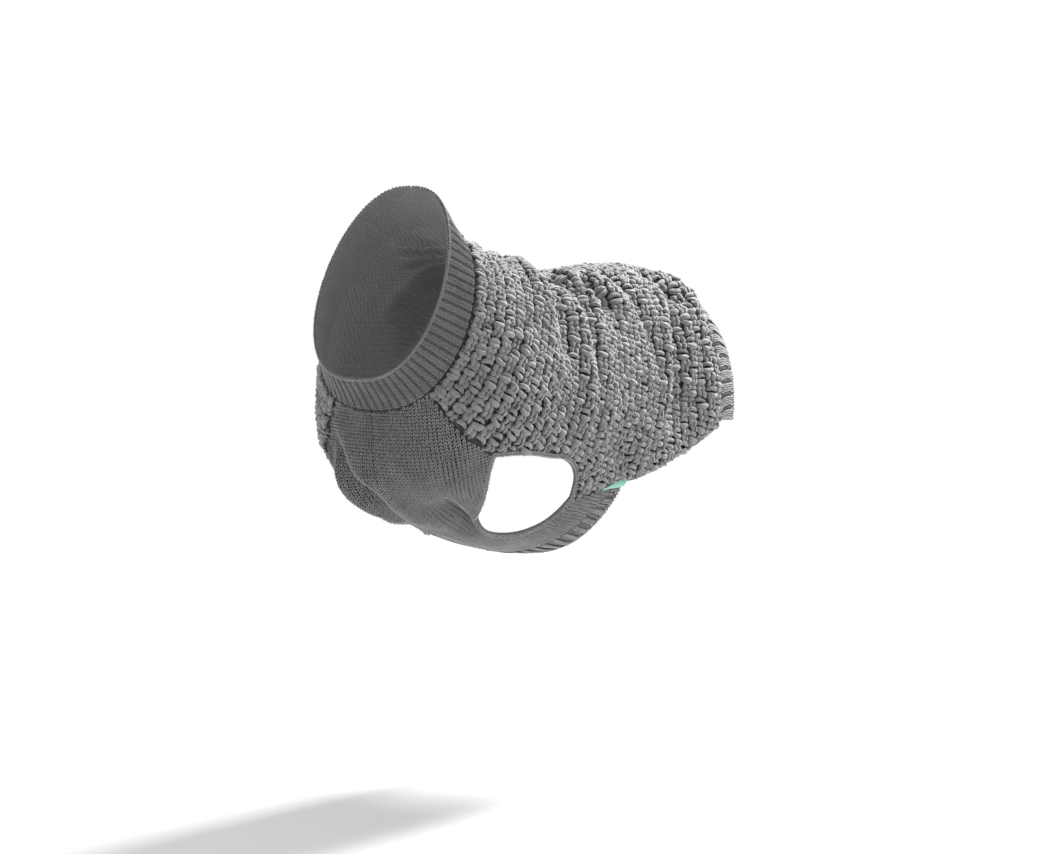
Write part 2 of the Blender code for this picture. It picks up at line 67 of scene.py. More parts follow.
# Folds run from a to b in (along, angle), bowed sideways. Depth above 0 is a trough, below 0 a ridge.
Fold = namedtuple("Fold", "name along_a angle_a along_b angle_b bow half_width depth")
FOLDS = (
    Fold("breast crease", 0.022, -150, 0.134, -174, -0.016, 0.008, 0.0065),
    Fold("cloth over the right foreleg", 0.044, -150, 0.15, -167, 0.004, 0.022, -0.011),
    Fold("pull at the left armhole", 0.08, 166, 0.132, 162, 0, 0.01, 0.0065),
    Fold("fullness over the left foreleg", 0.05, 150, 0.118, 143, 0, 0.018, -0.003),
    Fold("dip across the back", 0.128, -34, 0.128, 34, 0, 0.011, 0.003),
    Fold("shoulder crease, left", 0.07, 12, 0.108, 48, 0, 0.008, 0.003),
    Fold("shoulder crease, right", 0.078, -10, 0.11, -52, 0.003, 0.009, 0.003),
    Fold("back crease, left", 0.148, 10, 0.19, 52, 0.004, 0.008, 0.0032),
    Fold("back crease, right", 0.156, -14, 0.186, -60, 0, 0.008, 0.0028),
    Fold("loin crease, left", 0.236, 8, 0.288, 44, 0, 0.009, 0.0032),
    Fold("loin crease, right", 0.246, -12, 0.282, -50, 0.003, 0.009, 0.003),
    Fold("ridge behind the left armhole", 0.126, 24, 0.176, 118, 0.012, 0.011, -0.0038),
    Fold("ridge behind the right armhole", 0.132, -30, 0.178, -116, -0.01, 0.012, -0.0036),
    Fold("flank trough, left", 0.306, 38, 0.25, 114, 0.012, 0.012, 0.0055),
    Fold("flank trough, right", 0.3, -44, 0.256, -112, -0.01, 0.012, 0.005),
    Fold("flank ridge, left", 0.288, 70, 0.296, 110, 0, 0.009, -0.0026),
    Fold("flank ridge, right", 0.284, -74, 0.292, -110, 0, 0.01, -0.0024),
    Fold("withers trough, left", 0.122, -6, 0.097, 46, 0.003, 0.01, 0.013),
    Fold("withers trough, right", 0.118, 5, 0.096, -46, -0.002, 0.01, 0.011),
    Fold("shoulder ridge, left", 0.07, 4, 0.082, 66, 0.002, 0.013, -0.0076),
    Fold("shoulder ridge, right", 0.07, -6, 0.08, -70, -0.002, 0.013, -0.0066),
    Fold("shoulder trough, left", 0.094, 16, 0.118, 82, 0.003, 0.01, 0.0085),
    Fold("shoulder trough, right", 0.096, -20, 0.116, -84, -0.003, 0.01, 0.0075),
    Fold("ridge behind the withers, left", 0.165, -4, 0.129, 38, 0.002, 0.008, -0.0065),
    Fold("ridge behind the withers, right", 0.16, 2, 0.13, -40, -0.002, 0.008, -0.0058),
    Fold("long ridge, left", 0.13, 16, 0.15, 112, -0.002, 0.009, -0.0062),
    Fold("long ridge, right", 0.132, -14, 0.147, -106, 0.003, 0.009, -0.0056),
    Fold("narrow back trough, left", 0.134, 4, 0.152, 82, -0.002, 0.007, 0.009),
    Fold("narrow back trough, right", 0.137, -8, 0.15, -74, 0.002, 0.007, 0.0078),
    Fold("middle ridge, left", 0.144, -2, 0.162, 56, 0.001, 0.0065, -0.006),
    Fold("middle ridge, right", 0.148, 0, 0.162, -50, -0.001, 0.0065, -0.0054),
    Fold("deep back trough, left", 0.149, -6, 0.18, 52, 0.001, 0.0078, 0.013),
    Fold("deep back trough, right", 0.155, 2, 0.182, -46, -0.002, 0.0075, 0.0106),
    Fold("mid ridge, left", 0.168, 4, 0.2, 54, 0.002, 0.0085, -0.006),
    Fold("mid ridge, right", 0.174, -4, 0.202, -56, -0.002, 0.0085, -0.0052),
    Fold("mid trough, left", 0.19, 0, 0.233, 84, 0.004, 0.0065, 0.0062),
    Fold("mid trough, right", 0.195, -4, 0.229, -76, -0.003, 0.0065, 0.0056),
    Fold("rump trough, left", 0.254, 6, 0.282, 48, 0.002, 0.011, 0.012),
    Fold("rump trough, right", 0.256, -8, 0.28, -50, -0.003, 0.011, 0.01),
    Fold("rear ridge, left", 0.255, 22, 0.237, 110, -0.002, 0.007, -0.0056),
    Fold("rear ridge, right", 0.257, -26, 0.24, -104, 0.002, 0.007, -0.005),
    Fold("rear trough, left", 0.267, 26, 0.252, 114, -0.001, 0.0142, 0.0124),
    Fold("rear trough, right", 0.268, -28, 0.254, -110, 0.002, 0.014, 0.0108),
    Fold("hollow over the side seam, left", 0.17, 92, 0.222, 120, 0, 0.01, 0.0062),
    Fold("hollow over the side seam, right", 0.172, -94, 0.22, -119, 0, 0.01, 0.0054),
    Fold("hem ridge, left", 0.292, 24, 0.298, 100, 0.001, 0.007, -0.0048),
    Fold("hem ridge, right", 0.292, -28, 0.298, -96, -0.001, 0.007, -0.0042),
    Fold("rump ridge, left", 0.29, 4, 0.303, 44, 0.001, 0.0075, -0.004),
    Fold("rump ridge, right", 0.291, -6, 0.302, -46, -0.001, 0.0075, -0.0036),
    Fold("upper breast crease", 0.024, -149, 0.092, -178.5, 0, 0.009, 0.0068),
    Fold("lower breast crease", 0.053, -174.5, 0.15, -166.5, 0, 0.0088, 0.0088),
    Fold("roll beside the breast crease", 0.028, -170, 0.128, -190.5, -0.002, 0.011, -0.0042),
    Fold("hollow under the left armhole", 0.078, 156, 0.138, 170, 0, 0.0072, 0.0082),
    Fold("front neck crease, left", 0.036, -2, -0.002, 36, 0.001, 0.0046, 0.005),
    Fold("front neck crease, right", 0.034, 0, 0, -34, -0.001, 0.0046, 0.0046),
    Fold("middle neck crease, left", 0.06, 0, 0.016, 38, 0.001, 0.0046, 0.005),
    Fold("middle neck crease, right", 0.058, -2, 0.018, -36, -0.001, 0.0046, 0.0046),
    Fold("rear neck crease, left", 0.08, 2, 0.038, 40, 0, 0.0046, 0.0046),
    Fold("rear neck crease, right", 0.078, -4, 0.04, -42, 0, 0.0046, 0.0042),
    Fold("breast dimple", 0.092, 156, 0.122, 163, 0, 0.005, 0.0022),
)

# The sweater sits turned on the body: front seams lie this far round to the left, in degrees.
Turn = namedtuple("Turn", "along degrees")
TURN = (
    Turn(-0.036, -5.5),
    Turn(0.100, -5.5),
    Turn(0.150, -1.5),
    Turn(0.180, 0.0),
    Turn(0.348, 0.0),
)

# Half the angle that the back panel covers, from the collar round the armhole to the rump edge.
Edge = namedtuple("Edge", "along degrees")
CHEST_SEAM = (
    Edge(0.000, 147.0),
    Edge(0.040, 139.0),
    Edge(0.078, 132.0),
)
ARMHOLE_TOP = (
    Edge(0.078, 132.0),
    Edge(0.093, 124.3),
    Edge(0.107, 118.8),
    Edge(0.123, 114.6),
    Edge(0.143, 111.0),
    Edge(0.155, 113.5),
    Edge(0.163, 119.0),
    Edge(0.168, 127.0),
)
SIDE_SEAM = (
    Edge(0.168, 127.0),
    Edge(0.180, 123.5),
    Edge(0.192, 120.5),
    Edge(0.213, 118.0),
)
LOWER_EDGE = (
    Edge(0.213, 118.0),
    Edge(0.239, 116.0),
    Edge(0.260, 114.0),
    Edge(0.282, 111.5),
    Edge(0.300, 108.5),
    Edge(0.312, 105.5),
    Edge(0.348, 104.0),
)
COLLAR_EDGE = -0.036
ARMHOLE_FRONT = 0.078
ARMHOLE_REAR = 0.168
RUMP_SEAM = 0.312
RUMP_EDGE = 0.348


def curve(table, column, at):
    """Cubic curve through one column of a table, read over the table's first column."""
    xs = np.array([row[0] for row in table])
    ys = np.array([getattr(row, column) for row in table])
    slopes = np.gradient(ys, xs)
    i = np.clip(np.searchsorted(xs, at) - 1, 0, len(xs) - 2)
    reach = xs[i + 1] - xs[i]
    t = (at - xs[i]) / reach
    keep = t * t * (3 - 2 * t)
    bend = t * (1 - t) * ((1 - t) * slopes[i] - t * slopes[i + 1]) * reach
    return ys[i] * (1 - keep) + ys[i + 1] * keep + bend


def ease(share):
    """Soft step from 0 to 1."""
    share = np.clip(share, 0.0, 1.0)
    return share * share * (3.0 - 2.0 * share)


def fold_depth(along, angle):
    """How far the folds push the cloth inwards."""
    depth = np.zeros(np.broadcast(along, angle).shape)
    for fold in FOLDS:
        run_along = fold.along_b - fold.along_a
        run_round = math.radians(fold.angle_b - fold.angle_a) * GIRTH_RADIUS
        length = math.hypot(run_along, run_round)
        here_along = along - fold.along_a
        here_round = np.radians((angle - fold.angle_a + 180.0) % 360.0 - 180.0) * GIRTH_RADIUS
        t = (here_along * run_along + here_round * run_round) / length ** 2
        aside = (here_along * run_round - here_round * run_along) / length
        aside = aside - fold.bow * 4.0 * t * (1.0 - t)
        fade = ease(t / FOLD_END) * ease((1.0 - t) / FOLD_END)
        depth += fold.depth * fade * np.exp(-(aside / fold.half_width) ** 2)
    return depth


def unit(vectors, least=0.0):
    """Vectors made one unit long. `least` keeps one of no length from a division by zero."""
    return vectors / (np.linalg.norm(vectors, axis=-1, keepdims=True) + least)


def normals_of(points):
    """Outward unit normals of a grid of points whose rows run along and whose columns run round."""
    return unit(np.cross(np.gradient(points, axis=1), np.gradient(points, axis=0)))


# The form is worked out once on a fine grid, and every stitch reads it from there.
FORM_STEP = 0.0005            # metres along
FORM_TURN = 0.5               # degrees round
FORM_MARGIN = 8               # extra columns past the keel, so that slopes meet there
FORM_REACH = 0.006            # metres past the free edges

form_along = np.arange(COLLAR_EDGE - FORM_REACH, RUMP_EDGE + FORM_REACH, FORM_STEP)
form_angle = np.arange(-360 - FORM_MARGIN, 361 + FORM_MARGIN) * FORM_TURN
grid_along, grid_angle = np.meshgrid(form_along, form_angle, indexing="ij")
top_y, top_z, keel_y, keel_z, half_width = (
    curve(SECTIONS, column, grid_along) for column in Section._fields[1:])
sine, cosine = np.sin(np.radians(grid_angle)), np.cos(np.radians(grid_angle))
down = (1.0 - cosine) / 2.0
plain_form = np.stack([
    half_width * np.sign(sine) * np.abs(sine) ** SIDE_FULLNESS * (1.0 - LOWER_FULLNESS * cosine),
    top_y + (keel_y - top_y) * down,
    top_z + (keel_z - top_z) * down], axis=-1)
form_points = plain_form - normals_of(plain_form) * fold_depth(grid_along, grid_angle)[..., None]
form_normals = normals_of(form_points)
trim = slice(FORM_MARGIN, -FORM_MARGIN)
form_points, form_normals, form_angle = form_points[:, trim], form_normals[:, trim], form_angle[trim]
form_girth = np.concatenate([np.zeros((len(form_along), 1)), np.cumsum(
    np.linalg.norm(np.diff(form_points, axis=1), axis=-1), axis=1)], axis=1)


def read_grid(grid, row, column):
    """Value of a grid between its points."""
    i = np.clip(row.astype(int), 0, grid.shape[0] - 2)
    j = np.clip(column.astype(int), 0, grid.shape[1] - 2)
    s, t = row - i, column - j
    if grid.ndim == 3:
        s, t = s[..., None], t[..., None]
    return ((grid[i, j] * (1 - t) + grid[i, j + 1] * t) * (1 - s)
            + (grid[i + 1, j] * (1 - t) + grid[i + 1, j + 1] * t) * s)


def cloth(along, angle):
    """Inside points of the cloth and their outward normals."""
    row = (along - form_along[0]) / FORM_STEP
    column = ((angle + 180.0) % 360.0) / FORM_TURN
    return read_grid(form_points, row, column), unit(read_grid(form_normals, row, column))


def turned(along, degrees):
    """Angle of a seam on the left (plus) or right (minus), as the turned sweater has it."""
    return degrees + curve(TURN, "degrees", along)


def panel_edge(along, at_armhole, behind):
    """Where a panel's side runs, degrees from the spine before the turn."""
    front, middle, rear = (curve(table, "degrees", along) for table in (CHEST_SEAM, at_armhole, behind))
    return np.where(along <= ARMHOLE_FRONT, front, np.where(along <= ARMHOLE_REAR, middle, rear))


def back_edge(along):
    """Where the back panel ends."""
    return panel_edge(along, ARMHOLE_TOP, SIDE_SEAM + LOWER_EDGE[1:])


def mesh_object(name, points, faces, finish, bands=None, deep=None):
    """A smooth mesh piece. `bands` gives each corner its place on the yarn, `deep` each point its painted
    light: 0 is full painted shade, 1 fully lit.
    """
    mesh = bpy.data.meshes.new(name)
    mesh.from_pydata(points.reshape(-1, 3).tolist(), [], faces)
    mesh.polygons.foreach_set("use_smooth", np.ones(len(faces), bool))
    if bands is not None:
        layer = mesh.uv_layers.new(name="yarn")
        layer.data.foreach_set("uv", bands.astype(np.float32).ravel())
    if deep is None:
        deep = np.ones(len(mesh.vertices))
    # The height attribute holds the painted light that the finishes read: they paint shade where it is low.
    layer = mesh.attributes.new("height", "FLOAT", "POINT")
    layer.data.foreach_set("value", deep.astype(np.float32).ravel())
    mesh.materials.append(finish)
    mesh.validate()
    made = bpy.data.objects.new(name, mesh)
    bpy.context.scene.collection.objects.link(made)
    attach(made, "root")
    return made


def corners_of(grid):
    """The four corners of each face of some grids of values."""
    return np.stack([grid[:, :-1, :-1], grid[:, :-1, 1:], grid[:, 1:, 1:], grid[:, 1:, :-1]], 3)


def wall(name, along, angle, low, high, finish, ring=False, shade=0.0):
    """A thin shell of cloth over a grid of places, `low` to `high` metres outside the inner face.

    `shade` is the painted light of its outer face, which lies under the stitches: at 0 it is painted in full
    shade."""
    rows, columns = along.shape
    base, normals = cloth(along, angle)
    inner = base + normals * low
    outer = base + normals * np.broadcast_to(high, along.shape)[..., None]
    index = np.arange(rows * columns).reshape(rows, columns)
    if ring:
        index = np.concatenate([index, index[:, :1]], axis=1)
    under = rows * columns
    outside = corners_of(index[None]).reshape(-1, 4)
    faces = [outside, outside[:, [0, 3, 2, 1]] + under]
    rims = [(index[0], 1), (index[-1], -1)]
    if not ring:
        rims += [(index[:, 0], -1), (index[:, -1], 1)]
    for line, turn in rims:
        rim = np.stack([line[:-1], line[1:], line[1:] + under, line[:-1] + under], -1)
        faces.append(rim[:, ::-turn])
    points = np.concatenate([outer.reshape(-1, 3), inner.reshape(-1, 3)])
    outer_shade = np.broadcast_to(shade, along.shape).ravel()
    return mesh_object(name, points, np.concatenate(faces).tolist(), finish,
                       deep=np.concatenate([outer_shade, np.ones(rows * columns)]))


def on_cloth(spot):
    """Turns a function for places on the cloth into one for points, at a height above its inner face."""
    def place(u, v, height):
        base, normals = cloth(*spot(u, v))
        return base + normals * height[..., None], normals
    return place


NO_LENGTH = 1e-12


def tubes(centre, normals, height, wide, deep, sides):
    """Closed yarns, one for each row of points. Wide and deep are a yarn's half sizes across and upwards."""
    strands, steps = height.shape
    way = np.gradient(centre, axis=1)
    aside = unit(np.cross(way, normals), NO_LENGTH)
    upward = unit(np.cross(aside, way), NO_LENGTH)
    ring = 2.0 * np.pi * np.arange(sides) / sides
    across = (wide[..., None] * np.cos(ring))[..., None] * aside[:, :, None]
    lift = (deep[..., None] * np.sin(ring))[..., None] * upward[:, :, None]
    points = centre[:, :, None] + across + lift
    rise = height[..., None] + deep[..., None] * np.sin(ring)
    index = np.arange(strands * steps * sides).reshape(strands, steps, sides)
    quads = corners_of(np.concatenate([index, index[:, :, :1]], axis=2)).reshape(-1, 4)
    length = np.concatenate([np.zeros((strands, 1)), np.cumsum(
        np.linalg.norm(np.diff(centre, axis=1), axis=-1), axis=1)], axis=1)
    u = np.broadcast_to(np.arange(sides + 1) / sides, (strands, steps, sides + 1))
    v = np.broadcast_to(length[..., None], u.shape)
    place = np.stack([u, v], -1)
    caps = [index[:, 0, ::-1], index[:, -1]]
    cap_bands = [place[:, 0, :-1][:, ::-1], place[:, -1, :-1]]
    return (points.reshape(-1, 3), quads, np.concatenate(caps), corners_of(place).reshape(-1, 2),
            np.concatenate(cap_bands).reshape(-1, 2), rise.ravel())


def yarn_object(name, parts, finish, top):
    """Joins many yarns into one piece. `top` is the height that counts as fully lit; lower points are painted
    in shade.
    """
    points, faces, bands, rises, start = [], [], [], [], 0
    for one in parts:
        points.append(one[0])
        faces += (one[1] + start).tolist() + (one[2] + start).tolist()
        bands += [one[3], one[4]]
        rises.append(one[5])
        start += len(one[0])
    return mesh_object(name, np.concatenate(points), faces, finish, np.concatenate(bands),
                       np.clip(np.concatenate(rises) / top, 0.0, 1.0))


class Wool:
    """A socket of a material's nodes, so that a finish is written as plain arithmetic."""

    def __init__(self, socket):
        self.socket = socket

    def node(self, kind, values, output=0, stops=(), **settings):
        """Any node of this socket's tree. Values are numbers, colours or other sockets, by input."""
        tree = self.socket.id_data
        made = tree.nodes.new(kind)
        for name, value in settings.items():
            setattr(made, name, value)
        for k, (place, shade) in enumerate(stops):
            stop = made.color_ramp.elements[k] if k < 2 else made.color_ramp.elements.new(place)
            stop.position = place
            stop.color = (*shade, 1.0)
        for name, value in values.items():
            if isinstance(value, Wool):
                tree.links.new(value.socket, made.inputs[name])
            else:
                made.inputs[name].default_value = value
        return Wool(made.outputs[output])

    def maths(self, operation, *values):
        return self.node("ShaderNodeMath", dict(enumerate(values)), operation=operation)

    def __add__(self, other):
        return self.maths("ADD", self, other)

    def __radd__(self, other):
        return self.maths("ADD", other, self)

    def __sub__(self, other):
        return self.maths("SUBTRACT", self, other)

    def __rsub__(self, other):
        return self.maths("SUBTRACT", other, self)

    def __mul__(self, other):
        return self.maths("MULTIPLY", self, other)

    def __rmul__(self, other):
        return self.maths("MULTIPLY", other, self)

    def blend(self, first, second):
        """First colour where this is 0, second where it is 1."""
        return self.node("ShaderNodeMix", {"Factor": self, "A": first, "B": second},
                         output="Result", data_type="RGBA")


def new_finish(name, roughness, sheen):
    """An empty woolly material: its shader, and a socket that its nodes grow from."""
    finish = bpy.data.materials.new(name)
    finish.use_nodes = True
    shader = finish.node_tree.nodes["Principled BSDF"]
    for socket, value in (("Roughness", roughness), ("Sheen Weight", sheen), ("Sheen Roughness", 0.5),
                          ("Specular IOR Level", 0.2)):
        shader.inputs[socket].default_value = value
    place = finish.node_tree.nodes.new("ShaderNodeTexCoord")
    return finish, shader, Wool(place.outputs["Object"])


def dress(shader, colour, height, rise, strength=1.0):
    """Gives a finish its colour and its bumps. `rise` is how high a height of 1 stands, in metres."""
    bump = height.node("ShaderNodeBump", {"Height": height, "Strength": strength, "Distance": rise},
                       output="Normal")
    shader.id_data.links.new(colour.socket, shader.inputs["Base Color"])
    shader.id_data.links.new(bump.socket, shader.inputs["Normal"])


def noise(place, scale, detail=3.0, roughness=0.5):
    """Soft random values over the wool."""
    return place.node("ShaderNodeTexNoise", {"Vector": place, "Scale": scale, "Detail": detail,
                                             "Roughness": roughness})


def map_of(place, name):
    """The two directions of a piece's map."""
    spot = place.node("ShaderNodeUVMap", {}, uv_map=name)
    split = spot.node("ShaderNodeSeparateXYZ", {"Vector": spot})
    return split, Wool(split.socket.node.outputs["Y"])


FIBRES, CLOUDS, FUZZ, LUMPS = 900.0, 60.0, 2600.0, 420.0      # scales of the wool's noise
# Painted shade: a yarn's colour darkens towards black below SHADE_TO and is darkest below SHADE_FROM.
SHADE_FROM, SHADE_TO = 0.34, 0.92        # heights between which a yarn comes out of the shade
PAINTED_SHADE_BLACK = (0.0, 0.0, 0.0, 1.0)


def wool_finish(name, light, dark, hole, plies, twist, relief):
    """Melange yarn: light and dark fibres, plies that twist round each other, and painted shade in the holes,
    where its colour goes towards black on the low parts of the yarn.

    `hole` is the share of its colour that the yarn keeps in the deepest painted shade, `twist` the length of
    one turn of its plies and `relief` the height of its bumps, in metres."""
    finish, shader, place = new_finish(name, roughness=0.92, sheen=0.5)
    fibres = noise(place, FIBRES, detail=4.0, roughness=0.7)
    clouds = noise(place, CLOUDS)
    mix = (fibres - 0.5) * 1.6 + (clouds - 0.5) * 0.8 + 0.5
    height = place.node("ShaderNodeAttribute", {}, output="Fac", attribute_name="height")
    painted_light_share = height.node("ShaderNodeMapRange", {"Value": height, "From Min": SHADE_FROM,
                                                  "From Max": SHADE_TO, "To Min": hole, "To Max": 1.0})
    melange = mix.blend((*dark, 1.0), (*light, 1.0))
    round_it, along_it = map_of(place, "yarn")
    winding = (round_it * plies + along_it * (1.0 / twist)) * (2.0 * math.pi)
    ply = winding.maths("SINE", winding)
    fuzz = noise(place, FUZZ, roughness=0.8)
    lumps = noise(place, LUMPS)
    # Painted shade: the colour runs from black to the melange as the yarn's height value rises.
    dress(shader, painted_light_share.blend(PAINTED_SHADE_BLACK, melange), ply * 0.7 + fuzz * 1.1 + lumps * 1.2, relief)
    return finish


# Stitch rows run along the body. They are traced square to the girth lines, so they spread as knit does.
ROW_PITCH = 0.00480           # height of a stitch row, round the body
ROW_REACH = 58                # rows on each side of the spine that are traced
ROW_START = 0.200             # where the rows are evenly spaced

# Length of a stitch along the body, in metres of `along`: the cloth is stretched over the shoulders.
Stitch = namedtuple("Stitch", "along length")
STITCHES = (
    Stitch(-0.010, 0.0118),
    Stitch(0.030, 0.0110),
    Stitch(0.060, 0.0099),
    Stitch(0.100, 0.0088),
    Stitch(0.150, 0.0079),
    Stitch(0.210, 0.0076),
    Stitch(0.330, 0.0078),
)


def spaced_angles(along, distances):
    """Angles at these distances round the body from the spine, to the left when above 0."""
    girth = form_girth[int(round((along - form_along[0]) / FORM_STEP))]
    return np.interp(distances + np.interp(0.0, form_angle, girth), girth, form_angle)


def trace(start_along, start_angles):
    """Angles, at every step along the body, of lines that cross all the girth lines squarely."""
    table = np.zeros((len(form_along), len(start_angles)))
    start = int(round((start_along - form_along[0]) / FORM_STEP))
    table[start] = start_angles
    for way, end in ((1, len(form_along)), (-1, -1)):
        for i in range(start + way, end, way):
            row = np.full(len(start_angles), float(i - way))
            column = (table[i - way] + 180.0) % 360.0 / FORM_TURN + FORM_MARGIN
            here = read_grid(plain_form, row, column)
            onward = read_grid(plain_form, row + way, column) - here
            aside = read_grid(plain_form, row, column + 1.0) - here
            table[i] = table[i - way] - FORM_TURN * (onward * aside).sum(-1) / (aside * aside).sum(-1)
    return table


row_table = trace(ROW_START, spaced_angles(ROW_START, np.arange(-ROW_REACH, ROW_REACH + 1) * -ROW_PITCH))


def row_angle(along, row):
    """Angle of a stitch row; rows count up from the left lower edge over the spine to the right one."""
    return read_grid(row_table, (along - form_along[0]) / FORM_STEP, row + ROW_REACH)


stitch_edges = [STITCHES[0].along]
while stitch_edges[-1] < STITCHES[-1].along:
    stitch_edges.append(stitch_edges[-1] + float(curve(STITCHES, "length", np.array(stitch_edges[-1]))))
stitch_edges = np.array(stitch_edges)

# One yarn through a bar and through a leg pair. x counts stitches, y rows, the rest is in metres.
Knot = namedtuple("Knot", "x y height wide deep")
LOWER_BAR = (
    Knot(-0.58, 0.74, 0.0014, 0.0012, 0.0010),
    Knot(-0.38, 0.60, 0.0034, 0.0021, 0.0017),
    Knot(-0.16, 0.42, 0.0043, 0.0025, 0.0021),
    Knot(0.16, 0.42, 0.0043, 0.0025, 0.0021),
    Knot(0.38, 0.58, 0.0034, 0.0021, 0.0017),
    Knot(0.58, 0.72, 0.0014, 0.0012, 0.0010),
)
UPPER_BAR = (
    Knot(-0.56, 0.20, 0.0014, 0.0010, 0.0009),
    Knot(-0.38, 0.38, 0.0032, 0.0018, 0.0015),
    Knot(-0.16, 0.56, 0.0040, 0.0021, 0.0018),
    Knot(0.16, 0.56, 0.0040, 0.0021, 0.0018),
    Knot(0.38, 0.38, 0.0032, 0.0018, 0.0015),
    Knot(0.56, 0.20, 0.0014, 0.0010, 0.0009),
)
LEGS = (
    Knot(-0.40, -0.06, 0.0014, 0.0012, 0.0010),
    Knot(-0.27, 0.12, 0.0030, 0.0019, 0.0016),
    Knot(-0.19, 0.50, 0.0042, 0.0022, 0.0019),
    Knot(-0.13, 0.90, 0.0030, 0.0019, 0.0016),
    Knot(0.03, 1.14, 0.0012, 0.0012, 0.0010),
    Knot(0.28, 0.94, 0.0030, 0.0020, 0.0017),
    Knot(0.20, 0.50, 0.0044, 0.0023, 0.0020),
    Knot(0.13, 0.08, 0.0031, 0.0019, 0.0016),
    Knot(0.40, -0.12, 0.0014, 0.0012, 0.0010),
)
HAND_X = 0.05                 # unevenness of the stitches, in stitches, rows and shares
HAND_Y = 0.075
HAND_SIZE = 0.08
HAND_TILT = 0.28              # rows that a stitch leans over its length
SPINE_FLATNESS = 0.30         # share by which the stitches lie flatter where the back stretches them
SPINE_WIDTH = 24.0            # degrees that this reaches down each side
HAND_LUMP = HAND_SIZE * 0.7   # how much a yarn's size varies from knot to knot
PANEL_INSET = -0.5            # degrees; below 0 the yarns lap over the seam
SEAM_CLEARANCE = 0.0006       # metres that stitches keep from the seams at collar and rump
FEWEST_KNOTS = 4              # a shorter end of yarn is left out
END_HEIGHT, END_TAPER = 0.0015, 0.7      # height of a yarn's cut end, and its share of the yarn's size
YARN_SIDES = 6
HAND_SEED = 7

bar_shapes, leg_shape = (np.array(LOWER_BAR), np.array(UPPER_BAR)), np.array(LEGS)
random = np.random.default_rng(HAND_SEED)


def back_yarns(rows):
    """The thick yarns of some stitch rows, cut where the panel ends."""
    parts = []
    for row in rows:
        run = []
        for stitch in range(len(stitch_edges) - 1):
            is_bar = (stitch + row // 2) % 2 == 0
            shape = (bar_shapes[row % 2] if is_bar else leg_shape).copy()
            if random.random() < 0.5:
                shape = shape[::-1] * (-1.0, 1.0, 1.0, 1.0, 1.0)
            shape[:, 1] += row + random.normal(0.0, HAND_Y) + shape[:, 0] * random.normal(0.0, HAND_TILT)
            shape[:, 0] += 0.5 + stitch + random.normal(0.0, HAND_X)
            shape[:, 2:] *= 1.0 + random.normal(0.0, HAND_SIZE)
            shape[:, 2:] *= 1.0 + random.normal(0.0, HAND_LUMP, (len(shape), 1))
            run.append(shape)
        run = np.concatenate(run)
        along = np.interp(run[:, 0], np.arange(len(stitch_edges)), stitch_edges)
        angle = row_angle(along, run[:, 1])
        seat = turned(along, 0.0)
        inside = ((along > SEAM_CLEARANCE) & (along < RUMP_SEAM - SEAM_CLEARANCE)
                  & (np.abs(angle - seat) < back_edge(along) - PANEL_INSET))
        cuts = np.flatnonzero(np.diff(np.concatenate([[0], inside.astype(int), [0]])))
        for first, last in zip(cuts[::2], cuts[1::2]):
            if last - first < FEWEST_KNOTS:
                continue
            piece = slice(first, last)
            flat = 1.0 - SPINE_FLATNESS * np.exp(-(angle[piece] / SPINE_WIDTH) ** 2)
            height, wide, deep = run[piece, 2] * flat, run[piece, 3].copy(), run[piece, 4] * flat
            for end in (0, -1):
                height[end] = END_HEIGHT
                wide[end] *= END_TAPER
                deep[end] *= END_TAPER
            base, normals = cloth(along[None, piece], angle[None, piece])
            parts.append(tubes(base + normals * height[None, :, None], normals, height[None],
                               wide[None], deep[None], YARN_SIDES))
    return parts


WOOL_LIGHT, WOOL_DARK = (0.31, 0.31, 0.313), (0.08, 0.08, 0.082)
chunky = wool_finish("chunky_wool", WOOL_LIGHT, WOOL_DARK, hole=0.04, plies=3.0, twist=0.012, relief=0.0005)


# Painted shade: the near-black colour of a cloth's outer face, where it lies under the stitches.
DEEP_SHADE = (0.03, 0.03, 0.03, 1.0)
BAR_RISE = 0.18               # of a row's pitch: how far the rows are staggered, and how high they stand


def ground_and_shade_finish(name, light, dark, pitch_along, pitch_round):
    """The backs of the stitches, as the inside of the cloth shows them, and painted deep shade on the outer
    face under the stitches.
    """
    rise = BAR_RISE * pitch_round
    finish, shader, place = new_finish(name, roughness=0.95, sheen=0.2)
    fibres = noise(place, FIBRES, detail=4.0)
    melange = fibres.blend((*dark, 1.0), (*light, 1.0))
    height = place.node("ShaderNodeAttribute", {}, output="Fac", attribute_name="height")
    lengthwise, roundwise = map_of(place, "cloth")
    waves = lengthwise.maths("SINE", lengthwise * (2.0 * math.pi / pitch_along))
    rows = roundwise.maths("SINE", (roundwise + waves * rise) * (2.0 * math.pi / pitch_round))
    # Painted shade: near black where the height value is 0.
    dress(shader, height.blend(DEEP_SHADE, melange), rows * 0.5 + fibres * 0.6, rise)
    return finish


MAP_RADIUS = 0.085            # turns an angle into metres on the pattern's map


def spread_cloth(piece, along, angle):
    """Lays a map of metres along and round on a wall's points, for the pattern of its inner face."""
    layer = piece.data.uv_layers.new(name="cloth")
    places = np.stack([along.ravel(), np.radians(angle.ravel()) * MAP_RADIUS], -1)
    places = np.concatenate([places, places])
    corners = np.zeros(len(piece.data.loops), int)
    piece.data.loops.foreach_get("vertex_index", corners)
    spots = places[corners].reshape(-1, 4, 2)
    rounds, whole_turn = spots[..., 1], 2.0 * math.pi * MAP_RADIUS
    closing = np.ptp(rounds, axis=1) > whole_turn / 2.0       # faces that close a ring
    rounds[closing] += whole_turn * (rounds[closing] < rounds[closing].mean(axis=1, keepdims=True))
    layer.data.foreach_set("uv", spots.astype(np.float32).ravel())


BACK_SHELL = 0.0014
BACK_ROWS, BACK_COLUMNS = 136, 150
SEAM_GAP = 0.00015            # metres from a cloth's edge to its seam
SHELL_INSET = 0.1             # the same at its sides, in degrees

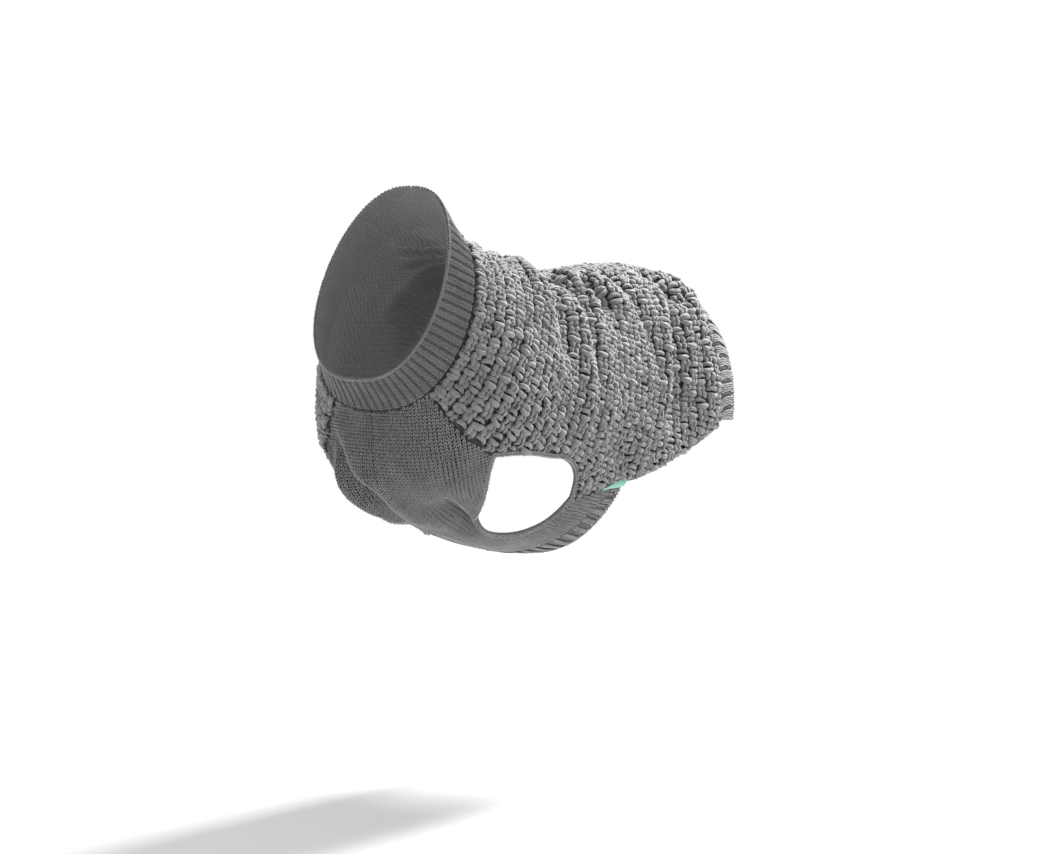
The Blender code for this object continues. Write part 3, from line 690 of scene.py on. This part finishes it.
rows = np.linspace(SEAM_GAP, RUMP_SEAM - SEAM_GAP, BACK_ROWS)
shares = np.linspace(-1.0, 1.0, BACK_COLUMNS)
along = np.repeat(rows[:, None], BACK_COLUMNS, axis=1)
angle = turned(along, 0.0) + shares * (back_edge(along) - SHELL_INSET)
chunky_ground_and_shade = ground_and_shade_finish("chunky_ground_and_shade", (0.22, 0.22, 0.222), (0.13, 0.13, 0.132),
                              pitch_along=0.0100, pitch_round=0.0045)
# Its outer face, under the thick stitches, is painted in deep shade.
back_panel = wall("back_panel_cloth", along, angle, 0.0, BACK_SHELL, chunky_ground_and_shade)
spread_cloth(back_panel, along, angle)
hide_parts("back_panel")
YARN_TOP = 0.0052             # height of the stitches' tops, where the yarn is fully lit
back_left = yarn_object("back_panel_yarn_left", back_yarns(range(-ROW_REACH, 0)), chunky, YARN_TOP)
back_right = yarn_object("back_panel_yarn_right", back_yarns(range(0, ROW_REACH)), chunky, YARN_TOP)

# ================================================================ chest panel
# The fine inner cloth over the breast and between the forelegs, down to the belly hem. It is plain knit in
# a thinner yarn of the same wool, knitted lengthwise and linked to the collar and to both sides of the
# back panel. Each stitch shows as two short legs of yarn that form a V.

ARMHOLE_BOTTOM = (
    Edge(0.078, 132.0),
    Edge(0.084, 139.5),
    Edge(0.093, 147.5),
    Edge(0.103, 156.0),
    Edge(0.114, 162.5),
    Edge(0.128, 166.0),
    Edge(0.142, 162.0),
    Edge(0.155, 151.5),
    Edge(0.164, 138.0),
    Edge(0.168, 127.0),
)
SIDE_SEAM_END = 0.205
BELLY_CORNER = 0.213
BELLY_SEAM_KEEL = 0.178
BELLY_EDGE_KEEL = 0.204
BELLY_SWEEP = 1.8


def chest_edge(along):
    """Where the chest panel starts."""
    return panel_edge(along, ARMHOLE_BOTTOM, SIDE_SEAM)


def belly_line(share, along_side, along_keel):
    """Place along at a share of the way from left to right under the belly, furthest back at the sides."""
    return along_keel + (along_side - along_keel) * np.abs(2.0 * share - 1.0) ** BELLY_SWEEP


def below(along, share, inset):
    """Angle at a share of the way from the left edge to the right one, under the body."""
    left = turned(along, chest_edge(along)) + inset
    right = turned(along, 360.0 - chest_edge(along)) - inset
    return left + (right - left) * share


CHEST_SHELL = 0.0011
CHEST_ROWS, CHEST_COLUMNS = 150, 90
EDGE_INSET = -0.1             # degrees; below 0 it laps under the stitches of the next piece
place_rows = np.linspace(SEAM_GAP, SIDE_SEAM_END, CHEST_ROWS)[:, None]
shares = np.linspace(0.0, 1.0, CHEST_COLUMNS)[None]
angle = below(place_rows, shares, EDGE_INSET)
seam_line = belly_line(shares, SIDE_SEAM_END, BELLY_SEAM_KEEL) - SEAM_GAP
rearwards = np.clip((place_rows - ARMHOLE_REAR) / (SIDE_SEAM_END - ARMHOLE_REAR), 0.0, 1.0)
along = np.where(place_rows <= ARMHOLE_REAR, place_rows + 0.0 * shares,
                 ARMHOLE_REAR + (seam_line - ARMHOLE_REAR) * rearwards)
plain_ground_and_shade = ground_and_shade_finish("plain_ground_and_shade", (0.20, 0.20, 0.202), (0.12, 0.12, 0.122),
                             pitch_along=0.0026, pitch_round=0.0030)
# Its outer face, under the fine stitches, is painted in deep shade.
chest_panel = wall("chest_panel_cloth", along, angle, 0.0, CHEST_SHELL, plain_ground_and_shade)
spread_cloth(chest_panel, along, angle)

# Over the breast the wales hang straight down, and behind it they run back under the body. Wales and
# courses are two maps over the panel that follow those ways with as little stretch as its form allows.
WALE_PITCH, COURSE_PITCH = 0.0030, 0.0026
HANG = np.array([0.0, 0.2, -1.0])
REARWARDS = np.array([0.0, 1.0, -0.25])
TURN_FROM, TURN_OVER = 0.07, 0.09        # where the wales turn from hanging to running back
FIELD_STEP, FIELD_TURN = 0.002, 2.0      # metres along, degrees round
FIELD_ALONG, FIELD_ANGLE = (-0.006, 0.214), (96.0, 254.1)      # from and to
FIELD_MARGIN = 6.0                       # degrees past the panel's edges that count in full
OUTSIDE_WEIGHT = 0.01                    # how much the rest of the field counts
SOLVER_ROUNDS, SOLVER_END = 500, 1e-18

field_along, field_angle = np.arange(*FIELD_ALONG, FIELD_STEP), np.arange(*FIELD_ANGLE, FIELD_TURN)
field_grid = np.meshgrid(field_along, field_angle, indexing="ij")
field_points, field_normals = cloth(*field_grid)
rearness = ease((field_grid[0] - TURN_FROM) / TURN_OVER)[..., None]
hang = HANG * (1.0 - rearness) + REARWARDS * rearness
downward = unit(hang - field_normals * (hang * field_normals).sum(-1, keepdims=True))
across = np.cross(downward, field_normals)
in_panel = ((field_grid[1] > below(field_grid[0], 0.0, 0.0) - FIELD_MARGIN)
            & (field_grid[1] < below(field_grid[0], 1.0, 0.0) + FIELD_MARGIN))
field_strength = np.where(in_panel, 1.0, OUTSIDE_WEIGHT)


def flatten(way):
    """A smooth map over the field that grows one metre a metre along `way`, as nearly as it can."""
    steps = [np.diff(field_points, axis=k) for k in (0, 1)]
    sizes = [np.linalg.norm(step, axis=-1) for step in steps]
    means = [(way[1:] + way[:-1]) / 2.0, (way[:, 1:] + way[:, :-1]) / 2.0]
    wanted = [(step * mean).sum(-1) for step, mean in zip(steps, means)]
    weights = [sizes[1].mean() / sizes[0] * field_strength[1:],
               sizes[0].mean() / sizes[1] * field_strength[:, 1:]]

    def gather(rows, columns):
        total = np.zeros(field_strength.shape)
        total[1:] += rows
        total[:-1] -= rows
        total[:, 1:] += columns
        total[:, :-1] -= columns
        return total

    rest = gather(weights[0] * wanted[0], weights[1] * wanted[1])
    heights, search, size = np.zeros(rest.shape), rest.copy(), (rest * rest).sum()
    for _ in range(SOLVER_ROUNDS):
        pull = gather(weights[0] * np.diff(search, axis=0), weights[1] * np.diff(search, axis=1))
        share = size / (search * pull).sum()
        heights += share * search
        rest -= share * pull
        last, size = size, (rest * rest).sum()
        if size < SOLVER_END:
            break
        search = rest + size / last * search
    return heights


wale_map, course_map = flatten(across) / WALE_PITCH, flatten(downward) / COURSE_PITCH
middle_column = (turned(0.0, 180.0) - field_angle[0]) / FIELD_TURN
collar_row = np.array(-field_along[0] / FIELD_STEP)
for one in (wale_map, course_map):
    one -= read_grid(one, collar_row, np.array(middle_column))
slopes = [np.gradient(one, axis=k) for one in (wale_map, course_map) for k in (0, 1)]

# Every whole wale and course is looked up on the two maps, first at the nearest grid point.
LOOK_REACH = 2.5                         # courses on each side that are searched
LOOK_HIT = 2.0                           # largest squared distance of a find, in wales and courses
REFINE_ROUNDS, REFINE_STEP = 4, 2.0      # then closer, by at most this many grid steps a round
STRAY = 0.05                             # stitches further off their place than this are left out

inner = np.argwhere(in_panel)
inner_wale, inner_course = wale_map[in_panel], course_map[in_panel]
wale, course, row, column = [], [], [], []
for one in range(int(inner_course.min()), int(inner_course.max()) + 1):
    near = np.abs(inner_course - one) < LOOK_REACH
    targets = np.arange(math.floor(inner_wale[near].min()), math.ceil(inner_wale[near].max()) + 1)
    away = (inner_wale[near] - targets[:, None]) ** 2 + (inner_course[near] - one) ** 2
    nearest = away.argmin(axis=1)
    hit = away[np.arange(len(targets)), nearest] < LOOK_HIT
    places = inner[near][nearest[hit]].astype(float)
    wale.append(targets[hit])
    course.append(np.full(hit.sum(), one))
    row.append(places[:, 0])
    column.append(places[:, 1])
wale, course, row, column = (np.concatenate(one).astype(float) for one in (wale, course, row, column))
for _ in range(REFINE_ROUNDS):
    a, b, c, d = (read_grid(one, row, column) for one in slopes)
    off_wale = wale - read_grid(wale_map, row, column)
    off_course = course - read_grid(course_map, row, column)
    crossed = a * d - b * c
    row = row + np.clip((d * off_wale - b * off_course) / crossed, -REFINE_STEP, REFINE_STEP)
    column = column + np.clip((a * off_course - c * off_wale) / crossed, -REFINE_STEP, REFINE_STEP)
along, angle = field_along[0] + row * FIELD_STEP, field_angle[0] + column * FIELD_TURN
off = np.hypot(wale - read_grid(wale_map, row, column), course - read_grid(course_map, row, column))
left, right = below(along, 0.0, 0.0), below(along, 1.0, 0.0)
share = (angle - left) / (right - left)
CHEST_INSET = 0.7                        # degrees that the stitches keep from the panel's sides
BELLY_CLEARANCE = 0.0016                 # metres that they keep from the belly hem
belly_seam = belly_line(share, SIDE_SEAM_END, BELLY_SEAM_KEEL)
rear_end = np.where(along > ARMHOLE_REAR, belly_seam - BELLY_CLEARANCE, 1.0)
inside = ((off < STRAY) & (along > SEAM_CLEARANCE) & (along < rear_end)
          & (angle > left + CHEST_INSET) & (angle < right - CHEST_INSET))
wale, course, along, angle = wale[inside], course[inside], along[inside], angle[inside]
a, b, c, d = (one[inside] for one in (a, b, c, d))
crossed = a * d - b * c
per_wale = np.stack([d / crossed * FIELD_STEP, -c / crossed * FIELD_TURN])
per_course = np.stack([-b / crossed * FIELD_STEP, a / crossed * FIELD_TURN])


def chest_place(part):
    """Where the stitches of one part of the panel lie, as a function for leg_yarns."""
    def spot(u, v):
        du, dv = u - wale[part][:, None], v - course[part][:, None]
        return tuple(base[part][:, None] + per_wale[k][part][:, None] * du
                     + per_course[k][part][:, None] * dv for k, base in enumerate((along, angle)))
    return on_cloth(spot)


FINE_HAND = 0.035                        # unevenness of the fine stitches, in stitches and shares

# The right leg of a V; x counts wales from the stitch's middle, y counts courses.
LEG = (
    Knot(0.06, -0.06, 0.0008, 0.00044, 0.00040),
    Knot(0.17, 0.26, 0.0021, 0.00050, 0.00056),
    Knot(0.29, 0.68, 0.0024, 0.00050, 0.00060),
    Knot(0.35, 1.00, 0.0008, 0.00042, 0.00040),
)


FINE_SIDES = 4


def leg_yarns(place, wale, course, width, shape, ground, size):
    """Both legs of many V stitches. `width` is a wale in the place's units, `ground` lifts the stitches."""
    shape = np.array(shape)
    parts = []
    for mirror in (-1.0, 1.0):
        drift = random.normal(0.0, FINE_HAND, (2, len(wale), 1))
        u = wale[:, None] + (shape[:, 0] * mirror + drift[0]) * width
        v = course[:, None] + shape[:, 1] + drift[1]
        scale = np.reshape(size, (-1, 1)) * (1.0 + random.normal(0.0, FINE_HAND, (len(wale), 1)))
        height = ground + shape[:, 2] * scale
        centre, normals = place(u, v, height)
        parts.append(tubes(centre, normals, height, shape[:, 3] * scale, shape[:, 4] * scale,
                           FINE_SIDES))
    return parts


fine = wool_finish("fine_wool", WOOL_LIGHT, WOOL_DARK, hole=0.04, plies=2.0, twist=0.004, relief=0.0002)
LEAST_SPREAD, MOST_SPREAD = 0.6, 1.15    # a leg grows with the spread of the wales, between these
SPREAD_POWER = 0.8
FINE_TOP = 0.0025                        # height at which the fine stitches are fully lit

wales_apart = np.array([0.0, 1.0])
spots = chest_place(slice(None))(wale[:, None] + wales_apart, course[:, None] + 0.0 * wales_apart,
                                 np.zeros((len(wale), 2)))[0]
spread = np.linalg.norm(spots[:, 1] - spots[:, 0], axis=-1) / WALE_PITCH
leg_size = np.clip(spread, LEAST_SPREAD, MOST_SPREAD) ** SPREAD_POWER
for name, part in (("left", wale < 0), ("right", wale >= 0)):
    yarns = leg_yarns(chest_place(part), wale[part], course[part], 1.0, LEG, ground=0.0, size=leg_size[part])
    yarn_object("chest_panel_yarn_" + name, yarns, fine, FINE_TOP)
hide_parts("chest_panel")

# ================================================================ collar
# A round ribbed band in the fine yarn, linked to the neckline all round. Each rib is two wales wide, with
# a narrow sunk wale between ribs. The ribs stand square to the seam.

COLLAR_RIBS = 64
COLLAR_COURSES = 15
RIB_VALLEY, RIB_CREST = 0.0007, 0.0012
CREST_SHARE = 0.66            # share of a rib's width that its two raised wales take
RIB_SHOULDER = 0.85           # share of the crest that lies flat before it slopes to the valley
SHELL_STEPS, STEPS_PER_RIB = 26, 8
SHELL_SHORT, SHELL_LAP = 0.05, 0.20      # courses that a band's cloth ends short, and laps under its seam
COURSE_FIT = 0.985            # share of a band's height that its courses fill
COLLAR_START, VALLEY_START = 0.15, 0.1   # courses from the seam to the first row, on a rib and in a valley
CHAIN_INSET = 0.30            # courses from a free edge to its chain's line
COLLAR_TOP = 0.0022           # height at which its yarns are fully lit


def rib_profile(rib, crest_share):
    """0 in the valley between ribs, 1 on a rib. Ribs are counted from a valley."""
    aside = np.abs((rib % 1.0) - 0.5) * 2.0
    flat = crest_share * RIB_SHOULDER
    return 1.0 - ease((aside - flat) / (1.0 - flat))


half_girth = form_girth[int(round(-form_along[0] / FORM_STEP)), -1] / 2.0
collar_table = trace(0.0, spaced_angles(0.0, np.linspace(-half_girth, half_girth, COLLAR_RIBS + 1)))
collar_table = np.concatenate([collar_table, collar_table[:, 1:2] + 360.0], axis=1)


def collar_spot(rib, course):
    """Place on the collar, counted in ribs from the keel and in courses from the seam."""
    along = COLLAR_EDGE * course / COLLAR_COURSES
    return along, read_grid(collar_table, (along - form_along[0]) / FORM_STEP, rib % COLLAR_RIBS)


def ribbed_wall(name, grid, spot, crest, crest_share, shade, ring=False):
    """The plain cloth of a ribbed band. `shade` gives the painted light of its outer face: its value in a
    valley and the rise to a rib, so the valleys are painted in shade.
    """
    along, angle = spot(*grid)
    profile = rib_profile(grid[0], crest_share)
    band = wall(name, along, angle, 0.0, RIB_VALLEY + (crest - RIB_VALLEY) * profile, plain_ground_and_shade, ring,
                shade[0] + shade[1] * profile)
    spread_cloth(band, along, angle)
    return band


grid = np.meshgrid(np.arange(0.0, COLLAR_RIBS, 1.0 / STEPS_PER_RIB),
                   np.linspace(COLLAR_COURSES - SHELL_SHORT, -SHELL_LAP, SHELL_STEPS))
collar = ribbed_wall("collar_cloth", grid, collar_spot, RIB_CREST, CREST_SHARE, shade=(0.45, 0.3), ring=True)
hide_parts("collar")


def rib_stitches(count, courses, crest_share):
    """Middles of the raised wales, two on each rib, with their courses."""
    wale = (np.arange(count)[:, None] + 0.5 + np.array([-0.25, 0.25]) * crest_share).ravel()
    grid = np.meshgrid(wale, np.arange(courses), indexing="ij")
    return grid[0].ravel(), grid[1].ravel().astype(float)


# The sunk wale between ribs shows the backs of its stitches: small bars across the valley.
PURL = (
    Knot(-0.34, 0.30, 0.0004, 0.00050, 0.00040),
    Knot(-0.14, 0.64, 0.0010, 0.00066, 0.00056),
    Knot(0.14, 0.64, 0.0010, 0.00066, 0.00056),
    Knot(0.34, 0.30, 0.0004, 0.00050, 0.00040),
)


def valley_yarns(place, count, courses, crest_share, ground):
    """One small bar in each course of each valley."""
    grid = np.meshgrid(np.arange(count).astype(float), np.arange(courses) + VALLEY_START, indexing="ij")
    return leg_yarns(place, grid[0].ravel(), grid[1].ravel() * COURSE_FIT, 1.0 - crest_share * RIB_SHOULDER,
                     PURL, ground, size=1.0)[:1]


def edge_chain(spot, ribs, per_rib, width, ground, size):
    """The chain that closes a free edge, its V stitches lying along the edge.

    `spot` finds a place by its rib and by how far it is off the chain's line."""
    count = ribs * per_rib
    return leg_yarns(on_cloth(lambda u, v: spot(v / per_rib, u)), np.zeros(count),
                     np.arange(count).astype(float), width, LEG, ground, size)


wale, course = rib_stitches(COLLAR_RIBS, COLLAR_COURSES, CREST_SHARE)
yarns = leg_yarns(on_cloth(collar_spot), wale, course * COURSE_FIT + COLLAR_START, CREST_SHARE / 2.0, LEG,
                  ground=0.0005, size=0.85)
yarns += valley_yarns(on_cloth(collar_spot), COLLAR_RIBS, COLLAR_COURSES, CREST_SHARE, ground=0.0001)
yarns += edge_chain(lambda rib, off: collar_spot(rib, COLLAR_COURSES - CHAIN_INSET + off), COLLAR_RIBS,
                    per_rib=3, width=1.0, ground=0.0004, size=0.9)
collar_yarn = yarn_object("collar_yarn", yarns, fine, COLLAR_TOP)

# ================================================================ rump hem
# A ribbed band over the rump in the fine yarn, linked to the back panel's rear edge. Its ribs are wider
# and deeper than the collar's.

RUMP_RIBS = 30
RUMP_COURSES = 14
RUMP_LEAN = 3.5               # degrees that a rib moves up on its way back
HEM_CREST = 0.0014
HEM_TOP = 0.0026              # height at which its yarns are fully lit
HEM_CREST_SHARE = 0.66
HEM_STEPS_PER_RIB = 10
HEM_START = 0.1               # courses from the seam to the first row on a rib
CREST_GROUND, VALLEY_GROUND, CHAIN_GROUND = 0.0008, 0.0006, 0.0007     # heights that stitches stand on


def rump_spot(rib, course):
    along = RUMP_SEAM + (RUMP_EDGE - RUMP_SEAM) * course / RUMP_COURSES
    aside = 2.0 * rib / RUMP_RIBS - 1.0
    angle = turned(along, aside * (back_edge(along) - EDGE_INSET))
    return along, angle - RUMP_LEAN * course / RUMP_COURSES * np.sin(np.pi * aside * np.abs(aside))


grid = np.meshgrid(np.linspace(0.0, RUMP_RIBS, RUMP_RIBS * HEM_STEPS_PER_RIB + 1),
                   np.linspace(-SHELL_LAP, RUMP_COURSES - SHELL_SHORT, SHELL_STEPS))
rump_hem = ribbed_wall("rump_hem_cloth", grid, rump_spot, HEM_CREST, HEM_CREST_SHARE, shade=(0.4, 0.3))
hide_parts("rump_hem")
wale, course = rib_stitches(RUMP_RIBS, RUMP_COURSES, HEM_CREST_SHARE)
yarns = leg_yarns(on_cloth(rump_spot), wale, course * COURSE_FIT + HEM_START, HEM_CREST_SHARE / 2.0, LEG,
                  CREST_GROUND, size=1.1)
yarns += valley_yarns(on_cloth(rump_spot), RUMP_RIBS, RUMP_COURSES, HEM_CREST_SHARE, VALLEY_GROUND)
yarns += edge_chain(lambda rib, off: rump_spot(rib, RUMP_COURSES - CHAIN_INSET + off), RUMP_RIBS,
                    per_rib=4, width=1.2, ground=CHAIN_GROUND, size=1.1)
rump_yarn = yarn_object("rump_hem_yarn", yarns, fine, HEM_TOP)

# ================================================================ belly hem
# A ribbed band under the belly in the fine yarn, linked to the rear edge of the chest panel. It is
# narrowest at both ends, where it meets the side seams.

BELLY_RIBS = 24
BELLY_COURSES = 12
BELLY_LEAN = 4.5              # degrees that a rib moves towards the keel on its way back
BELLY_CREST_SHARE = 0.44
BELLY_COURSE_FIT = 0.98
BELLY_SLANT = 1.18            # length of the cloth for each metre of `along`, because it lies at a slant
BELLY_FEWEST = 2.0            # courses at the ends of the band
BELLY_SHELL_STEPS, BELLY_LAP = 22, 0.03
BELLY_CHAIN_INSET, BELLY_CHAIN_WIDTH = 0.0006, 0.0026     # metres


def belly_height(around):
    """Height of the band at a share of the way from left to right, in metres of `along`."""
    return (belly_line(around, BELLY_CORNER, BELLY_EDGE_KEEL)
            - belly_line(around, SIDE_SEAM_END, BELLY_SEAM_KEEL))


def belly_spot(rib, share):
    corner = SIDE_SEAM_END + (BELLY_CORNER - SIDE_SEAM_END) * share
    around = rib / BELLY_RIBS
    seam = belly_line(around, SIDE_SEAM_END, BELLY_SEAM_KEEL)
    lean = BELLY_LEAN * share * np.sin(2.0 * np.pi * around)
    return seam + belly_height(around) * share, below(corner, around, EDGE_INSET) + lean


grid = np.meshgrid(np.linspace(0.0, BELLY_RIBS, BELLY_RIBS * HEM_STEPS_PER_RIB + 1),
                   np.linspace(-BELLY_LAP, 1.0, BELLY_SHELL_STEPS))
belly_hem = ribbed_wall("belly_hem_cloth", grid, belly_spot, HEM_CREST, BELLY_CREST_SHARE, shade=(0.7, 0.2))
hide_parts("belly_hem")
wale, course = rib_stitches(BELLY_RIBS, BELLY_COURSES, BELLY_CREST_SHARE)
courses_here = np.maximum(
    np.round(belly_height(wale / BELLY_RIBS) * BELLY_SLANT / COURSE_PITCH), BELLY_FEWEST)
kept = course < courses_here
wale, course, courses_here = wale[kept], course[kept], courses_here[kept]
yarns = leg_yarns(on_cloth(lambda rib, course: belly_spot(rib, course / courses_here[:, None])), wale,
                  course * BELLY_COURSE_FIT + HEM_START, BELLY_CREST_SHARE / 2.0, LEG,
                  CREST_GROUND, size=1.0)
yarns += valley_yarns(on_cloth(lambda rib, course: belly_spot(rib, course / BELLY_COURSES)), BELLY_RIBS,
                      BELLY_COURSES, BELLY_CREST_SHARE, VALLEY_GROUND)


def belly_edge(rib, off):
    """Place `off` metres behind the line of the free edge's chain."""
    return belly_spot(rib, 1.0 + (off - BELLY_CHAIN_INSET) / belly_height(rib / BELLY_RIBS))


yarns += edge_chain(belly_edge, BELLY_RIBS, per_rib=4, width=BELLY_CHAIN_WIDTH, ground=CHAIN_GROUND, size=1.1)
belly_yarn = yarn_object("belly_hem_yarn", yarns, fine, HEM_TOP)

# ================================================================ armhole bands and side edges
# Both armholes are finished with a soft rolled band of the fine yarn, one chain of V stitches wide. The
# same chain, narrower, binds the free lower edges of the back panel from the belly hem to the rump hem.


CLOSED_RATIO = 20.0           # a line this many times as long as the gap between its ends is a loop
RAIL_STEP = 0.0012            # metres each way over which a rail's direction is taken


class Rail:
    """A line on the form that a trim runs along. Its points are found by the distance run along it."""

    def __init__(self, along, angle, inwards):
        self.along, self.angle, self.inwards = along, angle, inwards
        points, _ = cloth(along, angle)
        steps = np.linalg.norm(np.diff(points, axis=0), axis=-1)
        self.run = np.concatenate([[0.0], np.cumsum(steps)])
        self.closed = steps.sum() > CLOSED_RATIO * np.linalg.norm(points[-1] - points[0])

    def at(self, run):
        if self.closed:
            run = run % self.run[-1]
        return cloth(np.interp(run, self.run, self.along), np.interp(run, self.run, self.angle))

    def place(self, aside, run, height):
        """Points `aside` metres off the line, on its inward side, and their normals."""
        points, normals = self.at(run)
        way = self.at(run + RAIL_STEP)[0] - self.at(run - RAIL_STEP)[0]
        sideways = np.cross(normals, way)
        sideways *= self.inwards / np.linalg.norm(sideways, axis=-1, keepdims=True)
        return points + sideways * aside[..., None] + normals * height[..., None], normals


Trim = namedtuple("Trim", "width thick stitch_size")
ARMHOLE_BAND = Trim(0.0048, 0.0022, 1.1)
SIDE_EDGE = Trim(0.0022, 0.0026, 0.9)
trim_wool = wool_finish("trim_wool", (0.40, 0.40, 0.403), (0.12, 0.12, 0.122),
                        hole=0.3, plies=2.0, twist=0.004, relief=0.0002)
TRIM_GAP = -0.0008            # metres from the rail to the roll; below 0 the roll laps over it
ROLL_STEP, ROLL_SIDES = 0.0010, 8
ROLL_LIT = 1.5                # thicknesses of the roll at which it is fully lit
CHAIN_PITCH = 0.0028
CHAIN_SPREAD = 1.05           # width of the chain, in widths of the roll
CHAIN_SEAT = 0.35             # height that it stands on, in thicknesses of the roll
CHAIN_TOP = 0.0022            # metres above that at which it is fully lit


def trim_pieces(node, rail, trim):
    """A rolled band along a rail, with a chain of V stitches on it."""
    length = rail.run[-1]
    run = np.linspace(0.0, length, int(length / ROLL_STEP))[None]
    wide, deep = np.full(run.shape, trim.width / 2.0), np.full(run.shape, trim.thick / 2.0)
    centre, normals = rail.place(TRIM_GAP + wide, run, deep)
    roll = yarn_object(node + "_roll", [tubes(centre, normals, deep, wide, deep, ROLL_SIDES)], trim_wool,
                       trim.thick * ROLL_LIT)
    count, seat = int(length / CHAIN_PITCH), trim.thick * CHAIN_SEAT
    stitches = leg_yarns(lambda u, v, height: rail.place(u, v * length / count, height),
                         np.full(count, TRIM_GAP + trim.width / 2.0), np.arange(count).astype(float),
                         trim.width * CHAIN_SPREAD, LEG, seat, trim.stitch_size)
    chain = yarn_object(node + "_chain", stitches, trim_wool, seat + CHAIN_TOP)
    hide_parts(node)
    return [roll, chain]


ARMHOLE_ROWS, LOWER_EDGE_ROWS = 60, 50
BELLY_GAP, RUMP_GAP = 0.0006, 0.0003     # metres from the side edge's ends to the belly hem and rump seam

rows = np.linspace(ARMHOLE_FRONT, ARMHOLE_REAR, ARMHOLE_ROWS)
trims = []
for side, name in ((1.0, "left"), (-1.0, "right")):
    top = turned(rows, side * curve(ARMHOLE_TOP, "degrees", rows))
    bottom = turned(rows, side * curve(ARMHOLE_BOTTOM, "degrees", rows))
    loop = Rail(np.concatenate([rows, rows[-2::-1]]), np.concatenate([top, bottom[-2::-1]]), -side)
    trims += trim_pieces("armhole_band_" + name, loop, ARMHOLE_BAND)
    low_rows = np.linspace(BELLY_CORNER + BELLY_GAP, RUMP_SEAM - RUMP_GAP, LOWER_EDGE_ROWS)
    edge = Rail(low_rows, turned(low_rows, side * curve(LOWER_EDGE, "degrees", low_rows)), -side)
    trims += trim_pieces("side_edge_" + name, edge, SIDE_EDGE)

# ================================================================ label
# A small folded tab of plain woven tape, caught in the rear end of the left side seam.

LABEL_FROM, LABEL_TO = 0.190, 0.2135
LABEL_WIDTH, LABEL_TAPER = 0.0050, 0.30
LABEL_LIFT, LABEL_THICK = 0.0048, 0.0007
LABEL_RIDGE = 0.0013          # how far the fold along its middle stands out
LABEL_ROWS, LABEL_COLUMNS = 28, 9
WEAVE, WEAVE_RELIEF = 2600.0, 0.0001     # scale of the weave's pattern, and its height in metres

share_along, share_down = np.meshgrid(np.linspace(0.0, 1.0, LABEL_ROWS),
                                      np.linspace(0.0, 1.0, LABEL_COLUMNS), indexing="ij")
along = LABEL_FROM + (LABEL_TO - LABEL_FROM) * share_along
width = LABEL_WIDTH * (LABEL_TAPER + (1.0 - LABEL_TAPER) * ease(share_along))
angle = curve(SIDE_SEAM, "degrees", along) + np.degrees(share_down * width / GIRTH_RADIUS)
label_finish, shader, place = new_finish("mint_tape", roughness=0.65, sheen=0.3)
weave = place.node("ShaderNodeTexVoronoi", {"Vector": place, "Scale": WEAVE}, feature="F1")
mint = weave.blend((0.20, 0.45, 0.35, 1.0), (0.12, 0.31, 0.24, 1.0))
dress(shader, mint, weave, WEAVE_RELIEF, strength=0.6)
ridge = LABEL_RIDGE * (1.0 - np.abs(2.0 * share_down - 1.0)) * share_along
label = wall("label_tape", along, angle, LABEL_LIFT, LABEL_LIFT + LABEL_THICK + ridge, label_finish)
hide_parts("label")

# ================================================================ floor, light and camera
# A plain pale floor where the wearer's feet would stand, soft light from above, and the camera.
FLOOR_Z, FLOOR_REACH, FLOOR_TONE = -0.43, 1.3, 0.66
CAMERA_AZIMUTH, CAMERA_ELEVATION = 37.3, 5.15
CAMERA_DISTANCE = 2.5
CAMERA_TARGET = Vector((0.0, 0.0689, -0.1395))
FIELD_AT_TARGET = 0.84        # metres that the frame's width spans at the target
SENSOR_WIDTH = 36.0           # millimetres
LAMP_PLACE = Vector((0.16, 1.16, 1.34))
LAMP_SIZE, LAMP_WATTS = 0.6, 118.0

floor_mesh = bpy.data.meshes.new("floor")
corners = [(x * FLOOR_REACH, y * FLOOR_REACH, FLOOR_Z) for x, y in ((-1, -1), (1, -1), (1, 1), (-1, 1))]
floor_mesh.from_pydata(corners, [], [(0, 1, 2, 3)])
floor_finish = bpy.data.materials.new("floor")
floor_finish.use_nodes = True
floor_shader = floor_finish.node_tree.nodes["Principled BSDF"]
floor_shader.inputs["Base Color"].default_value = (FLOOR_TONE, FLOOR_TONE, FLOOR_TONE, 1.0)
floor_shader.inputs["Roughness"].default_value = 0.9
floor_mesh.materials.append(floor_finish)
floor = bpy.data.objects.new("floor", floor_mesh)
bpy.context.scene.collection.objects.link(floor)

world = bpy.data.worlds.new("studio")
world.use_nodes = True
world.node_tree.nodes["Background"].inputs["Color"].default_value = (1.0, 1.0, 1.0, 1.0)
world.node_tree.nodes["Background"].inputs["Strength"].default_value = 1.0
bpy.context.scene.world = world
bpy.context.scene.view_settings.view_transform = "Standard"


def stand(name, data, place, facing):
    """Puts a lamp or a camera in the scene."""
    made = bpy.data.objects.new(name, data)
    made.location = place
    made.rotation_euler = facing.to_track_quat("-Z", "Y").to_euler()
    bpy.context.scene.collection.objects.link(made)
    return made


light = bpy.data.lights.new("top_box", "AREA")
light.size = LAMP_SIZE
light.energy = LAMP_WATTS
stand("top_box", light, LAMP_PLACE, CAMERA_TARGET - LAMP_PLACE)

lens = bpy.data.cameras.new("camera")
lens.sensor_width = SENSOR_WIDTH
lens.lens = SENSOR_WIDTH * CAMERA_DISTANCE / FIELD_AT_TARGET
turn, lift = math.radians(CAMERA_AZIMUTH), math.radians(CAMERA_ELEVATION)
away = Vector((math.sin(turn) * math.cos(lift), -math.cos(turn) * math.cos(lift), math.sin(lift)))
bpy.context.scene.camera = stand("camera", lens, CAMERA_TARGET + CAMERA_DISTANCE * away, -away)
